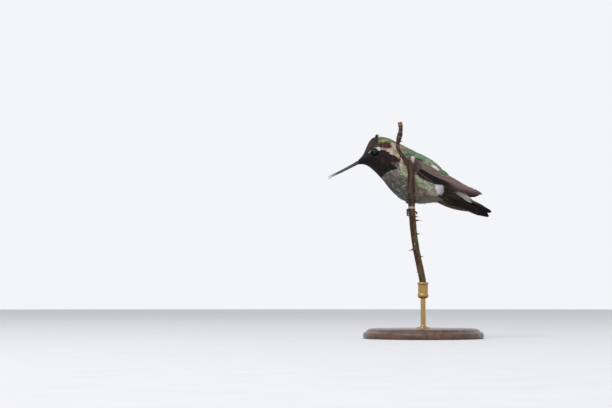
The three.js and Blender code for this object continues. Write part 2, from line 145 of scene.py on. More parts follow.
def noise(tree, size_mm, detail=3.0, stretch=(1, 1, 1)):
    """Noise with features of a size, from 0 to 1, drawn out by stretch."""
    place = add(tree, "TexCoord").outputs["Object"]
    scale = tuple(1 / (size_mm * MM * s) for s in stretch)
    mapped = add(tree, "Mapping", {"Vector": place, "Scale": scale})
    inputs = {"Vector": mapped.outputs[0], "Scale": 1.0, "Detail": detail, "Roughness": 0.55}
    return add(tree, "TexNoise", inputs).outputs[0]


def attribute(tree, name):
    return add(tree, "Attribute", attribute_name=name).outputs


def bump(tree, shader, height, distance_mm, strength=1.0):
    inputs = {"Height": height, "Distance": distance_mm * MM, "Strength": strength}
    feed(tree, shader, {"Normal": add(tree, "Bump", inputs).outputs[0]})


def grained_look(name, dark, pale, grain, surface, bumps):
    """A material of two colours mixed by a noise. dark and pale are (place, sRGB colour), grain is
    what noise() takes, surface is the shader's other inputs, and bumps is (distance, strength)."""
    look, tree, shader = new_look(name)
    pattern = noise(tree, *grain)
    stops = [(place, tuple(linear(colour))) for place, colour in (dark, pale)]
    feed(tree, shader, {"Base Color": ramp(tree, pattern, stops), **surface})
    bump(tree, shader, pattern, *bumps)
    return look, tree, shader, pattern


# ---- Camera, stage and light ----

CAMERA_AIM = (-69.9, 0.0, 80.4)
CAMERA_DISTANCE = 850.0
CAMERA_TILT = math.radians(4.0)  # how far it looks up
LENS_SHARE = 2.3148693  # focal length over the picture's width
SENSOR_WIDTH = 36.0

# These colours are linear, and the lengths here are metres.
BACKDROP = (0.905, 0.913, 0.945)
AMBIENT = (0.66, 0.67, 0.70)
FLOOR_RADIUS = 4.0
FLOOR_SIDES = 96
FLOOR_DARK, FLOOR_PALE = (0.77, 0.775, 0.795), (0.80, 0.805, 0.825)
KEY_PLACE = (-0.55, -0.75, 1.15)
KEY_AIM = (0.0, 0.0, 0.1)
KEY_SIZE = 0.9
KEY_POWER = 10.0
KEY_COLOUR = (1.0, 0.985, 0.96)


def place_in_scene(name, data):
    made = bpy.data.objects.new(name, data)
    bpy.context.scene.collection.objects.link(made)
    return made


def make_camera():
    camera = place_in_scene("camera", bpy.data.cameras.new("camera"))
    back = CAMERA_DISTANCE * math.cos(CAMERA_TILT)
    down = CAMERA_DISTANCE * math.sin(CAMERA_TILT)
    camera.location = (Vector(CAMERA_AIM) - Vector((0, back, down))) * MM
    camera.rotation_euler = (math.pi / 2 + CAMERA_TILT, 0, 0)
    camera.data.sensor_width = SENSOR_WIDTH
    camera.data.lens = SENSOR_WIDTH * LENS_SHARE
    camera.data.clip_start = 0.01
    bpy.context.scene.camera = camera


def make_world():
    """Soft light from all round. The camera, reflections and glass see the backdrop instead."""
    world = bpy.data.worlds.new("studio")
    world.use_nodes = True
    tree = world.node_tree
    ambient = tree.nodes["Background"]
    ambient.inputs["Color"].default_value = (*AMBIENT, 1)
    backdrop = add(tree, "Background", {"Color": (*BACKDROP, 1)})
    path = add(tree, "LightPath").outputs
    seen = maths(tree, "MAXIMUM", path["Is Camera Ray"], path["Is Glossy Ray"])
    seen = maths(tree, "MAXIMUM", seen, path["Is Transmission Ray"])
    shaders = {0: seen, 1: ambient.outputs[0], 2: backdrop.outputs[0]}
    mixed = add(tree, "MixShader", shaders)
    tree.links.new(mixed.outputs[0], tree.nodes["World Output"].inputs["Surface"])
    bpy.context.scene.world = world


def make_key_light():
    light = bpy.data.lights.new("key", "AREA")
    light.size = KEY_SIZE
    light.energy = KEY_POWER
    light.color = KEY_COLOUR
    lamp = place_in_scene("key", light)
    lamp.location = KEY_PLACE
    towards = Vector(KEY_AIM) - Vector(KEY_PLACE)
    lamp.rotation_euler = towards.to_track_quat("-Z", "Y").to_euler()


def make_floor():
    angles = np.linspace(0, 2 * math.pi, FLOOR_SIDES, endpoint=False)
    rim = [(FLOOR_RADIUS * math.cos(a), FLOOR_RADIUS * math.sin(a), 0.0) for a in angles]
    mesh = bpy.data.meshes.new("floor")
    mesh.from_pydata(rim, [], [list(range(FLOOR_SIDES))])
    floor = place_in_scene("floor", mesh)
    look, tree, shader = new_look("floor")
    place = add(tree, "TexCoord").outputs["Object"]
    grain = add(tree, "TexNoise", {"Vector": place, "Scale": 60.0, "Detail": 4.0}).outputs[0]
    tone = ramp(tree, grain, [(0.3, FLOOR_DARK), (0.7, FLOOR_PALE)])
    feed(tree, shader, {"Base Color": tone, "Roughness": 0.9, "Specular IOR Level": 0.1})
    mesh.materials.append(look)


bpy.context.scene.view_settings.view_transform = "Standard"
make_camera()
make_world()
make_key_light()
make_floor()


# ---- The body axis frame: s along it towards the tail, h above it, y across ----

AXIS_CENTRE = np.array([-4.0, 0.0, 96.0])
AXIS_SLOPE = math.radians(26.6)
ALONG = np.array([math.cos(AXIS_SLOPE), 0.0, -math.sin(AXIS_SLOPE)])
ABOVE = np.array([math.sin(AXIS_SLOPE), 0.0, math.cos(AXIS_SLOPE)])
ACROSS = np.array([0.0, 1.0, 0.0])
BODY_ROLL = math.radians(15)
TAIL_ROLL = math.radians(44)


def roll_at(s):
    """How far the body is rolled about its axis: not at the head, and most at the tail."""
    return BODY_ROLL * smooth(s, -20, -5) + (TAIL_ROLL - BODY_ROLL) * smooth(s, 12, 26)


def to_axis(points, roll=None):
    """(s, h, y) of points, with the body's roll about its axis undone."""
    offset = np.asarray(points, float) - AXIS_CENTRE
    s, height, across = offset @ ALONG, offset @ ABOVE, offset @ ACROSS
    roll = roll_at(s) if roll is None else roll
    h = height * np.cos(roll) + across * np.sin(roll)
    y = across * np.cos(roll) - height * np.sin(roll)
    return np.stack([s, h, y], -1)


def from_axis(s, h, y, roll=None):
    s, h, y = np.broadcast_arrays(*(np.asarray(v, float) for v in (s, h, y)))
    roll = roll_at(s) if roll is None else roll
    height = h * np.cos(roll) - y * np.sin(roll)
    across = y * np.cos(roll) + h * np.sin(roll)
    parts = s[..., None] * ALONG + height[..., None] * ABOVE + across[..., None] * ACROSS
    return AXIS_CENTRE + parts


# ---- Meshes ----

WELD = 0.004  # points of a solid nearer than this are one


def read_vectors(items, name, width, kind=float):
    """One attribute of a mesh's parts, as rows."""
    values = np.empty(len(items) * width, kind)
    items.foreach_get(name, values)
    return values.reshape(-1, width)


def node_mesh(*names):
    """Vertices and triangles of some CAD nodes, together."""
    verts, tris, first = [], [], 0
    for name in names:
        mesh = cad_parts[name].data
        mesh.calc_loop_triangles()
        verts.append(read_vectors(mesh.vertices, "co", 3) / MM)
        tris.append(read_vectors(mesh.loop_triangles, "vertices", 3, np.int32) + first)
        first += len(mesh.vertices)
    return np.vstack(verts), np.vstack(tris)


def remeshed(verts, faces, voxel, rounds, inflate=0.0):
    """One even surface of quads round some closed shapes, grown by inflate and smoothed."""
    mesh = bpy.data.meshes.new("work")
    mesh.from_pydata(verts.tolist(), [], faces.tolist())
    edit = bmesh.new()
    edit.from_mesh(mesh)
    bmesh.ops.remove_doubles(edit, verts=edit.verts, dist=WELD)
    edit.normal_update()
    for vert in edit.verts:
        vert.co += inflate * vert.normal
    edit.to_mesh(mesh)
    edit.free()
    work = place_in_scene("work", mesh)
    grid = work.modifiers.new("grid", "REMESH")
    grid.mode = "VOXEL"
    grid.voxel_size = voxel
    relax = work.modifiers.new("relax", "SMOOTH")
    relax.factor = 0.5
    relax.iterations = rounds
    made = bpy.data.meshes.new_from_object(work.evaluated_get(bpy.context.evaluated_depsgraph_get()))
    surface = read_vectors(made.vertices, "co", 3)
    quads = read_vectors(made.loops, "vertex_index", 1, np.int32).reshape(-1, 4)
    bpy.data.objects.remove(work)
    bpy.data.meshes.remove(made)
    return surface, quads


def vertex_normals(verts, quads):
    a, b, c, d = (verts[quads[:, k]] for k in range(4))
    faces = np.cross(c - a, d - b)
    total = np.zeros_like(verts)
    for k in range(4):
        np.add.at(total, quads[:, k], faces)
    return unit(total)


def relaxed(verts, quads, rounds):
    """Vertices moved halfway to the mean of their neighbours, over and over."""
    pairs = np.vstack([quads[:, [k, (k + 1) % 4]] for k in range(4)])
    count = np.bincount(pairs.ravel(), minlength=len(verts))[:, None]
    for _ in range(rounds):
        total = np.zeros_like(verts)
        np.add.at(total, pairs[:, 0], verts[pairs[:, 1]])
        np.add.at(total, pairs[:, 1], verts[pairs[:, 0]])
        verts = mix(verts, total / np.maximum(count, 1), 0.5)
    return verts


def cuts(verts, tris, axis, level):
    """Where a solid's edges cross a level along one axis."""
    ends = verts[tris[:, [0, 1, 1, 2, 2, 0]]].reshape(-1, 2, 3)
    start, end = ends[:, 0], ends[:, 1]
    crosses = (start[:, axis] - level) * (end[:, axis] - level) < 0
    start, end = start[crosses], end[crosses]
    share = (level - start[:, axis]) / (end[:, axis] - start[:, axis])
    return mix(start, end, share[:, None])


def oriented(verts, quads):
    """Faces turned to look outwards."""
    a, b, c, d = (verts[quads[:, k]] for k in range(4))
    volume = (np.cross(b - a, c - a) * a).sum() + (np.cross(c - a, d - a) * a).sum()
    return quads if volume > 0 else quads[:, ::-1]


def tube_quads(count, rings, around):
    """Faces of closed tubes whose vertices are numbered tube by tube and ring by ring."""
    ring = np.arange(rings - 1)[:, None] * around
    here = np.arange(around)[None, :]
    there = (here + 1) % around
    sides = np.stack([ring + here, ring + there, ring + around + there, ring + around + here], -1)
    fans = np.array([[0, i, i + 1, i + 2] for i in range(1, around - 2, 2)])
    last = (rings - 1) * around
    one = np.vstack([sides.reshape(-1, 4), fans[:, ::-1], fans + last])
    starts = np.arange(count) * rings * around
    return (one[None] + starts[:, None, None]).reshape(-1, 4)


def make_piece(name, verts, quads, look, slot, nodes=(), **attributes):
    """A shown piece that rides on the body and replaces some nodes. attributes are arrays of one
    vector for each vertex: tint is a linear colour, and patch becomes the bake's map."""
    mesh = bpy.data.meshes.new(name)
    mesh.vertices.add(len(verts))
    mesh.vertices.foreach_set("co", (np.asarray(verts) * MM).astype(np.float32).ravel())
    mesh.loops.add(quads.size)
    mesh.loops.foreach_set("vertex_index", quads.astype(np.int32).ravel())
    mesh.polygons.add(len(quads))
    mesh.polygons.foreach_set("loop_start", np.arange(0, quads.size, 4, dtype=np.int32))
    mesh.polygons.foreach_set("use_smooth", np.ones(len(quads), bool))
    for key, values in attributes.items():
        if key == "patch":
            layer, field = mesh.uv_layers.new(name="OFBake"), "uv"
            values = values[quads.ravel()]
        elif key == "tint":
            layer, field = mesh.attributes.new(key, "FLOAT_COLOR", "POINT"), "color"
            values = np.column_stack([values, np.ones(len(values))])
        else:
            layer, field = mesh.attributes.new(key, "FLOAT_VECTOR", "POINT"), "vector"
        layer.data.foreach_set(field, values.astype(np.float32).ravel())
    mesh.update(calc_edges=True)
    mesh.materials.append(look)
    piece = place_in_scene(name, mesh)
    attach(piece, "root")
    if nodes:
        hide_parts(*nodes)


# ---- Markings, which the skin and the plumage share ----

# Each paint is the middle of a feather, its rim, and how much its brightness varies.
PAINTS = {
    "belly": ((112, 101, 86), (164, 154, 140), 0.20),
    "belly side": ((172, 157, 144), (200, 190, 180), 0.16),
    "low belly": ((108, 102, 86), (164, 156, 142), 0.14),
    "breast": ((82, 78, 72), (152, 146, 137), 0.24),
    "throat side": ((124, 117, 109), (172, 165, 156), 0.20),
    "breast side": ((84, 92, 82), (138, 144, 134), 0.22),
    "flank green": ((158, 174, 136), (214, 210, 184), 0.22),
    "flank buff": ((168, 152, 112), (204, 192, 158), 0.16),
    "nape": ((156, 148, 112), (202, 186, 160), 0.18),
    "back": ((90, 142, 116), (158, 168, 148), 0.20),
    "back bronze": ((134, 128, 98), (186, 166, 146), 0.18),
    # painted sheen: the top of the back greyer and paler, as where light glances off it
    "back sheen": ((102, 140, 116), (156, 168, 150), 0.14),
    "rump": ((104, 142, 100), (168, 172, 138), 0.14),
    "cream": ((206, 186, 166), (232, 220, 206), 0.08),
    "olive spot": ((140, 132, 78), (186, 176, 132), 0.14),
    "gorget": ((17, 15, 14), (32, 27, 26), 0.22),
    "cheek": ((34, 23, 22), (52, 34, 33), 0.22),
    # painted glint: the iridescent red that shows where the gorget's lobes catch the light
    "gorget edge glint": ((78, 26, 32), (140, 98, 90), 0.22),
    "gorget glint": ((44, 41, 24), (72, 62, 42), 0.25),
    "forehead": ((26, 22, 22), (84, 72, 67), 0.22),
    "crown": ((116, 140, 86), (166, 174, 130), 0.20),
    # painted sheen: the top of the head greyer and paler, as where light glances off it
    "crown sheen": ((118, 128, 108), (166, 168, 152), 0.14),
    "crown front": ((140, 136, 84), (172, 158, 118), 0.18),
    # painted glints: the iridescent colour where the crown's side catches the light, brightest in the flash
    # on the next line
    "rose glint": ((82, 36, 42), (106, 62, 58), 0.26),
    "bright magenta glint": ((132, 44, 76), (104, 44, 60), 0.18),
    "mauve": ((74, 48, 45), (118, 90, 78), 0.28),
    "white": ((246, 244, 247), (252, 251, 253), 0.03),
    "white spot": ((222, 222, 228), (240, 240, 244), 0.04),
    "streak": ((150, 140, 126), (176, 166, 152), 0.10),
    "lore": ((22, 20, 22), (50, 46, 46), 0.18),
    "wrist": ((86, 70, 67), (140, 122, 116), 0.26),
    "wing shadow": ((34, 27, 26), (50, 42, 40), 0.15),
    "undertail": ((22, 19, 14), (74, 66, 46), 0.30),
    "tail black": ((16, 13, 12), (40, 36, 26), 0.25),
    "soft band": ((180, 169, 167), (208, 200, 199), 0.10),
}

# Outlines of markings in side view, as (x, z). The gorget's runs along its upper edge to the tips
# of its two lobes, then under the throat to the bill.
GORGET = [
    (-38.6, 106.4), (-34.0, 108.0), (-31.2, 109.0), (-28.4, 109.6), (-27.1, 111.9), (-25.0, 112.7),
    (-21.9, 111.9), (-20.1, 110.7), (-18.8, 109.2), (-17.3, 108.9), (-15.2, 107.7), (-13.5, 106.3),
    (-13.8, 105.0), (-16.4, 104.2), (-19.2, 104.0), (-17.2, 102.8), (-15.6, 100.9), (-16.4, 99.9),
    (-19.0, 99.7), (-22.0, 98.6), (-23.8, 96.8), (-25.2, 94.8), (-32.0, 92.0), (-42.0, 100.0),
]  # fmt: skip
FOREHEAD = [
    (-40.0, 106.0), (-34.2, 107.8), (-31.6, 111.4), (-29.4, 113.6), (-27.2, 114.2), (-26.6, 117.5),
    (-26.4, 123.0), (-36.0, 122.0),
]  # fmt: skip
CROWN = [(-28, 113.4), (-28, 124), (-12, 124), (-18.2, 117.2), (-19, 113.2)]
CROWN_BACK = [(-19.2, 117), (-17.5, 124), (-10, 124), (-15, 113)]
MAUVE = [(-28, 113.0), (-28.2, 116.4), (-24.6, 117.4), (-21.4, 115.0), (-22, 112.8)]
LORE = [(-39, 106), (-35.4, 109), (-30.6, 112.6), (-27.4, 111.0), (-30.6, 108.6)]

MARKING_SEED, BLOTCH_SEED = 3, 5
BLOTCH_SIZE = 1.7
BLOTCH_WAVES = 16


def side_view(points):
    """Where points lie in the left side's view. The right side mirrors the left."""
    s, h, y = np.moveaxis(to_axis(points), -1, 0)
    seen = from_axis(s, h, -np.abs(y))
    return seen[:, 0], seen[:, 2], s, h, np.abs(y)


def spot(x, z, at, size, turn=0.0, soft=0.35):
    """1 inside an ellipse of half widths size, turned anticlockwise, and 0 outside."""
    cos, sin = math.cos(math.radians(turn)), math.sin(math.radians(turn))
    dx, dz = x - at[0], z - at[1]
    reach = np.hypot((dx * cos + dz * sin) / size[0], (dz * cos - dx * sin) / size[1])
    return 1 - smooth(reach, 1 - soft, 1 + soft)


def segment_distance(x, z, a, b):
    ax, az, bx, bz = *a, *b
    along = ((x - ax) * (bx - ax) + (z - az) * (bz - az)) / ((bx - ax) ** 2 + (bz - az) ** 2)
    t = np.clip(along, 0, 1)
    return np.hypot(x - mix(ax, bx, t), z - mix(az, bz, t))


def stroke(x, z, a, b, half):
    """1 on a line from a to b of a half width, and 0 outside."""
    return 1 - smooth(segment_distance(x, z, a, b), half * 0.5, half * 1.5)


def within(x, z, outline, soft):
    """1 inside an outline and 0 outside, with an edge of width 2 soft."""
    inside = np.zeros(len(x), bool)
    distance = np.full(len(x), np.inf)
    for (ax, az), (bx, bz) in zip(outline, outline[1:] + outline[:1]):
        distance = np.minimum(distance, segment_distance(x, z, (ax, az), (bx, bz)))
        crosses = (az > z) != (bz > z)
        with np.errstate(divide="ignore", invalid="ignore"):
            inside ^= crosses & (x < (bx - ax) * (z - az) / (bz - az) + ax)
    return smooth(np.where(inside, distance, -distance), -soft, soft)


def blotches(points):
    """Smooth random values about 0."""
    waves = np.random.default_rng(BLOTCH_SEED)
    total = np.zeros(len(points))
    for _ in range(BLOTCH_WAVES):
        way = unit(waves.normal(0, 1, 3)) * 2 * math.pi / (BLOTCH_SIZE * waves.uniform(0.9, 2.4))
        total = total + np.cos(points @ way + waves.uniform(0, 2 * math.pi))
    return total / math.sqrt(BLOTCH_WAVES / 2)


def markings(points):
    """Colours of the middle and the rim of a feather at each point, linear, and its variation."""
    x, z, s, h, y = side_view(points)
    chance = np.random.default_rng(MARKING_SEED).random((len(points), 4))
    middle = np.tile(linear(PAINTS["belly"][0]), (len(points), 1))
    rim = np.tile(linear(PAINTS["belly"][1]), (len(points), 1))
    vary = np.full(len(points), PAINTS["belly"][2])

    def paint(name, amount):
        """Lays a paint over the last. Where its amount is a half, every other feather takes it."""
        nonlocal middle, rim, vary
        amount = smooth(amount + 0.5 * (chance[:, 0] - 0.5) * (4 * amount * (1 - amount)), 0.15, 0.85)
        a, b, v = PAINTS[name]
        middle = mix(middle, linear(a), amount[:, None])
        rim = mix(rim, linear(b), amount[:, None])
        vary = mix(vary, v, amount)

    # underside and flank
    paint("breast", 1 - smooth(s + 0.35 * h, -9.5, 0.5))
    paint("throat side", spot(x, z, (-16.8, 99.6), (4.8, 3.0), -42) * 0.8)
    paint("breast side", spot(x, z, (-12.4, 88.6), (4.2, 4.4), -30))
    paint("belly side", spot(x, z, (5.8, 88.0), (5.4, 3.2), -30))
    paint("low belly", spot(x, z, (3.0, 83.4), (7.0, 1.6), -4))
    paint("flank buff", spot(x, z, (-3.4, 95.0), (2.4, 4.8), 8) * 0.7)
    paint("flank green", spot(x, z, (0.0, 93.2), (6.6, 4.0), -32))
    paint("flank green", spot(x, z, (-11.6, 100.4), (2.3, 6.0), 10) * 0.85)
    paint("cream", stroke(x, z, (-14.2, 105.6), (-13.2, 100.0), 0.8) * 0.8)

    # back, rump and nape
    over_back = smooth(h - 0.1 * s, 4.6, 7.2)
    paint("back", over_back)
    paint("back bronze", over_back * smooth(s, 1.0, 9.0) * (0.3 + 0.6 * (chance[:, 1] > 0.45)))
    # painted sheen: the top of the back greyer and paler, as where light glances off it
    paint("back sheen", over_back * smooth(h, 9.4, 10.8) * 0.7)
    paint("back bronze", spot(x, z, (-8.0, 108.8), (3.2, 1.6), -20) * (chance[:, 2] > 0.45))
    paint("rump", smooth(s, 13.0, 15.5) * smooth(h, 4.5, 6.5))
    paint("nape", over_back * (1 - smooth(s, -15.0, -8.0)))
    fore_back = over_back * smooth(x, -17.5, -15.5) * (1 - smooth(s, -14.0, -8.0))
    paint("back", fore_back * (chance[:, 3] > 0.66))
    paint("cream", spot(x, z, (-15.9, 109.2), (5.6, 2.6), -45))
    paint("cream", stroke(x, z, (-25.0, 113.2), (-18.6, 111.4), 0.8))
    paint("olive spot", spot(x, z, (-16.6, 111.6), (1.4, 2.4), 30) * (chance[:, 2] > 0.4))

    # crown, and the iridescent colour behind it, painted as glints
    paint("crown", within(x, z, CROWN, 0.5))
    paint("crown front", spot(x, z, (-26.0, 118.2), (1.5, 2.6)) * 0.8)
    # painted sheen along the top of the head, and over the back of the crown on the next line
    paint("crown sheen", smooth(z, 119.3, 120.8) * smooth(x, -26.5, -24.0) * 0.9)
    paint("crown sheen", within(x, z, CROWN_BACK, 0.8) * 0.8)
    paint("cream", spot(x, z, (-17.5, 114.8), (1.4, 2.4), 12))
    paint("mauve", within(x, z, MAUVE, 0.5))
    # painted glints of the iridescent crown side, brightest in a small flash and in scattered feathers
    paint("rose glint", spot(x, z, (-20.9, 115.0), (2.2, 1.7), -22))
    paint("bright magenta glint", spot(x, z, (-22.7, 116.8), (0.9, 0.6), -10))
    paint("bright magenta glint", spot(x, z, (-21.4, 115.4), (2.0, 1.4), -20) * 0.4 * (chance[:, 1] > 0.8))

    # face and gorget
    gorget = within(x, z, GORGET, 0.3)
    paint("forehead", within(x, z, FOREHEAD, 0.45))
    paint("lore", within(x, z, LORE, 0.4))
    paint("gorget", gorget)
    paint("cheek", gorget * smooth(z, 102.0, 106.5) * smooth(x, -29.5, -26.5))
    paint("gorget glint", spot(x, z, (-16.2, 106.6), (1.8, 0.8), -20) * (chance[:, 3] > 0.45))
    # painted glint: the iridescent red where the gorget's lobes catch the light
    paint("gorget edge glint", stroke(x, z, (-14.4, 106.9), (-13.4, 105.8), 0.6))
    paint("gorget edge glint", stroke(x, z, (-18.5, 104.4), (-13.9, 104.9), 0.4) * (chance[:, 2] > 0.35))
    paint("streak", stroke(x, z, (-24.8, 113.3), (-21.6, 112.8), 0.34))
    paint("streak", stroke(x, z, (-32.1, 110.9), (-29.0, 113.5), 0.3))
    paint("white spot", spot(x, z, (-26.5, 113.0), (1.45, 1.05), -30, 0.25))

    # round the wing
    wrist = smooth(s, -10.5, -8.5) * (1 - smooth(s, 0.5, 2.0))
    wrist = wrist * smooth(h, -0.5, 0.8) * (1 - smooth(h, 7.0, 7.8))
    paint("wrist", wrist * smooth(y, 8.5, 10.0))
    paint("wing shadow", stroke(x, z, (-5.2, 107.3), (-1.6, 106.2), 0.32))
    paint("white", spot(x, z, (9.8, 88.7), (2.5, 3.4), 14))
    paint("nape", spot(x, z, (5.4, 104.3), (5.0, 1.1), -28) * 0.9)
    paint("white", spot(x, z, (7.2, 101.8), (3.0, 0.55), -29, 0.3) * smooth(y, 4.4, 5.8))

    # under the tail
    paint("undertail", smooth(s, 15.2, 17.4) * (1 - smooth(h, -0.5, 1.5)))
    paint("tail black", smooth(s, 24.0, 30.0) * (1 - smooth(h, 0.0, 2.0)))
    paint("soft band", spot(x, z, (22.4, 85.4), (5.4, 1.3), -29))
    tone = np.exp(vary * 0.9 * blotches(points))[:, None]
    return np.clip(middle * tone, 0, 1), np.clip(rim * tone, 0, 1), vary


# ---- Skin: one surface inside the solids of flesh ----

FLESH = [
    "head", "gorget", "neck", "trunk", "tail_coverts", "wing_left_coverts", "wing_right_coverts",
]  # fmt: skip
SKIN_VOXEL = 0.45
SKIN_CLOSING = 0.3  # grown by this, the pieces join across the gaps between them
BILL_BASE = np.array([-38.65, 0.0, 105.75])
BILL_SLOPE = math.radians(27.3)
BILL_WAY = np.array([-math.cos(BILL_SLOPE), 0.0, -math.sin(BILL_SLOPE)])
BILL_SLEEVE = 1.1  # how far the skin reaches out over the bill's root
EYE_RADIUS = 1.75
EYE_REST = np.array([-28.7, 6.0, 111.1])
EYE_FORWARD = math.radians(12)
SOCKET_DEPTH = 1.4


def from_bill(points):
    return np.linalg.norm(np.asarray(points) - BILL_BASE, axis=-1)


def coat_depth(points):
    """How far the plumage's outline stands off the skin."""
    away = from_bill(points)
    return 0.14 + 0.13 * smooth(away, 3, 13) + 0.25 * smooth(away, 16, 30)


def eye_axis(side):
    """The eye's centre and the way it looks."""
    look = np.array([-math.sin(EYE_FORWARD), side * math.cos(EYE_FORWARD), 0.0])
    return EYE_REST * (1, side, 1), look


def eye_distance(points):
    """Distance from the nearer eye's axis, and a large one where neither eye is near."""
    found = []
    for side in (LEFT, RIGHT):
        centre, look = eye_axis(side)
        offset = np.asarray(points) - centre
        across = offset - (offset @ look)[..., None] * look
        reach = np.linalg.norm(across, axis=-1)
        found.append(np.where(offset @ look > -1.5, reach, 99.0))
    return np.minimum(*found)


def make_skin():
    verts, quads = remeshed(*node_mesh(*FLESH), SKIN_VOXEL, 10, SKIN_CLOSING)
    normals = vertex_normals(verts, quads)
    verts = verts - normals * (SKIN_CLOSING + coat_depth(verts))[:, None]
    verts = relaxed(verts, quads, 4)
    near = 1 - smooth(from_bill(verts), 0.5, 3.2)
    verts = verts + BILL_WAY * near[:, None] * BILL_SLEEVE
    socket = 1 - smooth(eye_distance(verts), 1.25, 1.95)
    for side in (LEFT, RIGHT):
        look = eye_axis(side)[1]
        verts = verts - look * (socket * (verts[:, 1] * side > 0) * SOCKET_DEPTH)[:, None]
    return verts, quads


SKIN_VERTS, SKIN_QUADS = make_skin()
SKIN_TREE = BVHTree.FromPolygons(SKIN_VERTS.tolist(), SKIN_QUADS.tolist())


def middle_line():
    """Height of the middle of the skin over the axis, at steps along it."""
    s, h, _ = np.moveaxis(to_axis(SKIN_VERTS), -1, 0)
    steps = np.linspace(s.min(), s.max(), 40)
    middles = []
    for step in steps:
        near = h[np.abs(s - step) < 1.3]
        middles.append((near.min() + near.max()) / 2)
    return steps, np.array(middles)


MIDDLE_LINE = middle_line()


def unwrap(points):
    """The skin's own map: the way along the bird, and the turn about its middle line."""
    s, h, y = np.moveaxis(to_axis(points), -1, 0)
    first, last = MIDDLE_LINE[0][[0, -1]]
    turn = np.arctan2(y, h - np.interp(s, *MIDDLE_LINE)) / (2 * math.pi)
    return np.stack([0.01 + 0.98 * (s - first) / (last - first), 0.5 + 0.98 * turn], -1)


def show_skin():
    look, tree, shader = new_look("skin")
    # The markings are darkened by 5 to 45 percent at random: painted shade for the skin that lies deep
    # under the feathers.
    colour = shade(tree, attribute(tree, "tint")["Color"], noise(tree, 0.6), 0.55, 0.95)
    feed(tree, shader, {"Base Color": colour, "Roughness": 0.8, "Specular IOR Level": 0.2})
    bump(tree, shader, noise(tree, 0.35), 0.1)
    middle, rim, _ = markings(SKIN_VERTS)
    tint = mix(middle, rim, 0.3)
    make_piece("skin", SKIN_VERTS, SKIN_QUADS, look, "body_feathers", FLESH, tint=tint)


show_skin()


# ---- Plumage: thin vanes and loose barbs that lie back over the skin ----

# Across a vane: the place from its left edge to its right in half widths, then the height over its
# middle in thicknesses. The last point is its underside.
VANE_SECTION = [(-1.0, 0.0), (-0.45, 0.8), (0.0, 1.3), (0.45, 0.8), (1.0, 0.0), (0.0, -0.6)]
VANE_SHARES = np.array([0.0, 0.18, 0.36, 0.54, 0.7, 0.8, 0.88, 0.95, 1.0])  # of its length
VANE_WIDTHS = np.array([0.35, 0.75, 0.95, 1.0, 0.9, 0.94, 0.68, 0.62, 0.14])
SOFT_WIDTHS = np.array([0.35, 0.74, 0.92, 0.96, 0.84, 0.78, 0.56, 0.42, 0.07])
BARB_SECTION = [(-1.0, 0.0), (0.0, 1.0), (1.0, 0.0), (0.0, -1.0)]
BARB_SHARES = np.array([0.0, 0.35, 0.7, 1.0])
BARB_WIDTHS = np.array([0.8, 1.0, 0.75, 0.12])
PATCH = 0.003  # of the bake's map, for each vane
EYE_BARE = 1.5  # no feather comes nearer to the eye's axis
BILL_BARE = 1.3  # nor to the bill's root
SCATTER_CELL = 0.8
CROWDED = 0.86  # vanes may be this share of their spacing apart
BARB_LINES = 50.0  # across a vane's half width, in radians of their wave


def feather_look(name, roughness, shine, sheen):
    """Vanes: the painted colour with fine barbs, which run outwards from the shaft."""
    look, tree, shader = new_look(name)
    vane = add(tree, "SeparateXYZ", {0: attribute(tree, "vane")["Vector"]}).outputs
    outwards = maths(tree, "ABSOLUTE", vane[0])
    slant = maths(tree, "MULTIPLY_ADD", outwards, -0.6, vane[1])
    wave = maths(tree, "SINE", maths(tree, "MULTIPLY", slant, BARB_LINES))
    lines = add(tree, "MapRange", {"Value": wave, "From Min": -1.0}).outputs[0]
    painted = attribute(tree, "tint")["Color"]
    colour = shade(tree, shade(tree, painted, lines, 0.82, 1.12), noise(tree, 0.5), 0.8, 1.2)
    rough = ranged(tree, noise(tree, 0.9), roughness - 0.12, roughness + 0.1)
    feed(tree, shader, {"Base Color": colour, "Roughness": rough, "Specular IOR Level": shine})
    feed(tree, shader, {"Sheen Weight": sheen, "Sheen Roughness": 0.4})
    bump(tree, shader, lines, 0.02, 0.6)
    return look


HEAD_LOOK = feather_look("head_feathers", 0.55, 0.18, 0.0)
GORGET_LOOK = feather_look("gorget_feathers", 0.5, 0.12, 0.0)
BODY_LOOK = feather_look("body_feathers", 0.65, 0.12, 0.04)
DOWN_LOOK = feather_look("down", 0.8, 0.1, 0.5)


def lie(points):
    """The way the plumage lies: out from the bill over the head, then along the body."""
    points = np.asarray(points, float)
    out = unit(points - BILL_BASE)
    return unit(mix(out, ALONG, smooth(from_bill(points), 12, 30)[..., None]))


def on_wrist(s, h, y):
    return (s > -9) & (s < 4.5) & (h > 0) & (h < 7.4) & (y > 9)


# The lowest places that the folded wing hides on the flank, as (s, h).
WING_SHADOW = [(-9, 3.6), (-2, -0.5), (3, -2.3), (9, -2.1), (17, 1.1), (25, 2.8), (33, 4.4), (40, 7.4)]


def under_wing(points):
    """Whether a place on the flank is hidden well behind the folded wing."""
    s, h, y = np.moveaxis(to_axis(points, BODY_ROLL), -1, 0)
    low = np.interp(s, *zip(*WING_SHADOW)) - 0.1
    return (s > -0.8) & (s < 38) & (h > low) & (h < 5.6) & (np.abs(y) > 2.0)


def feathered(points):
    bare = (from_bill(points) <= BILL_BARE) | (eye_distance(points) <= EYE_BARE + 0.05)
    return ~bare & ~under_wing(points)


def spacing(points):
    """Distance between neighbouring vanes."""
    away = from_bill(points)
    _, _, s, h, y = side_view(points)
    step = 0.36 + 0.28 * smooth(away, 4, 13) + 0.34 * smooth(away, 20, 31)
    step = step + 0.3 * smooth(s, 12, 20)
    step = np.where(on_wrist(s, h, y), 0.75, step)
    return step * mix(0.6, 1.0, smooth(eye_distance(points), 2.0, 4.4))


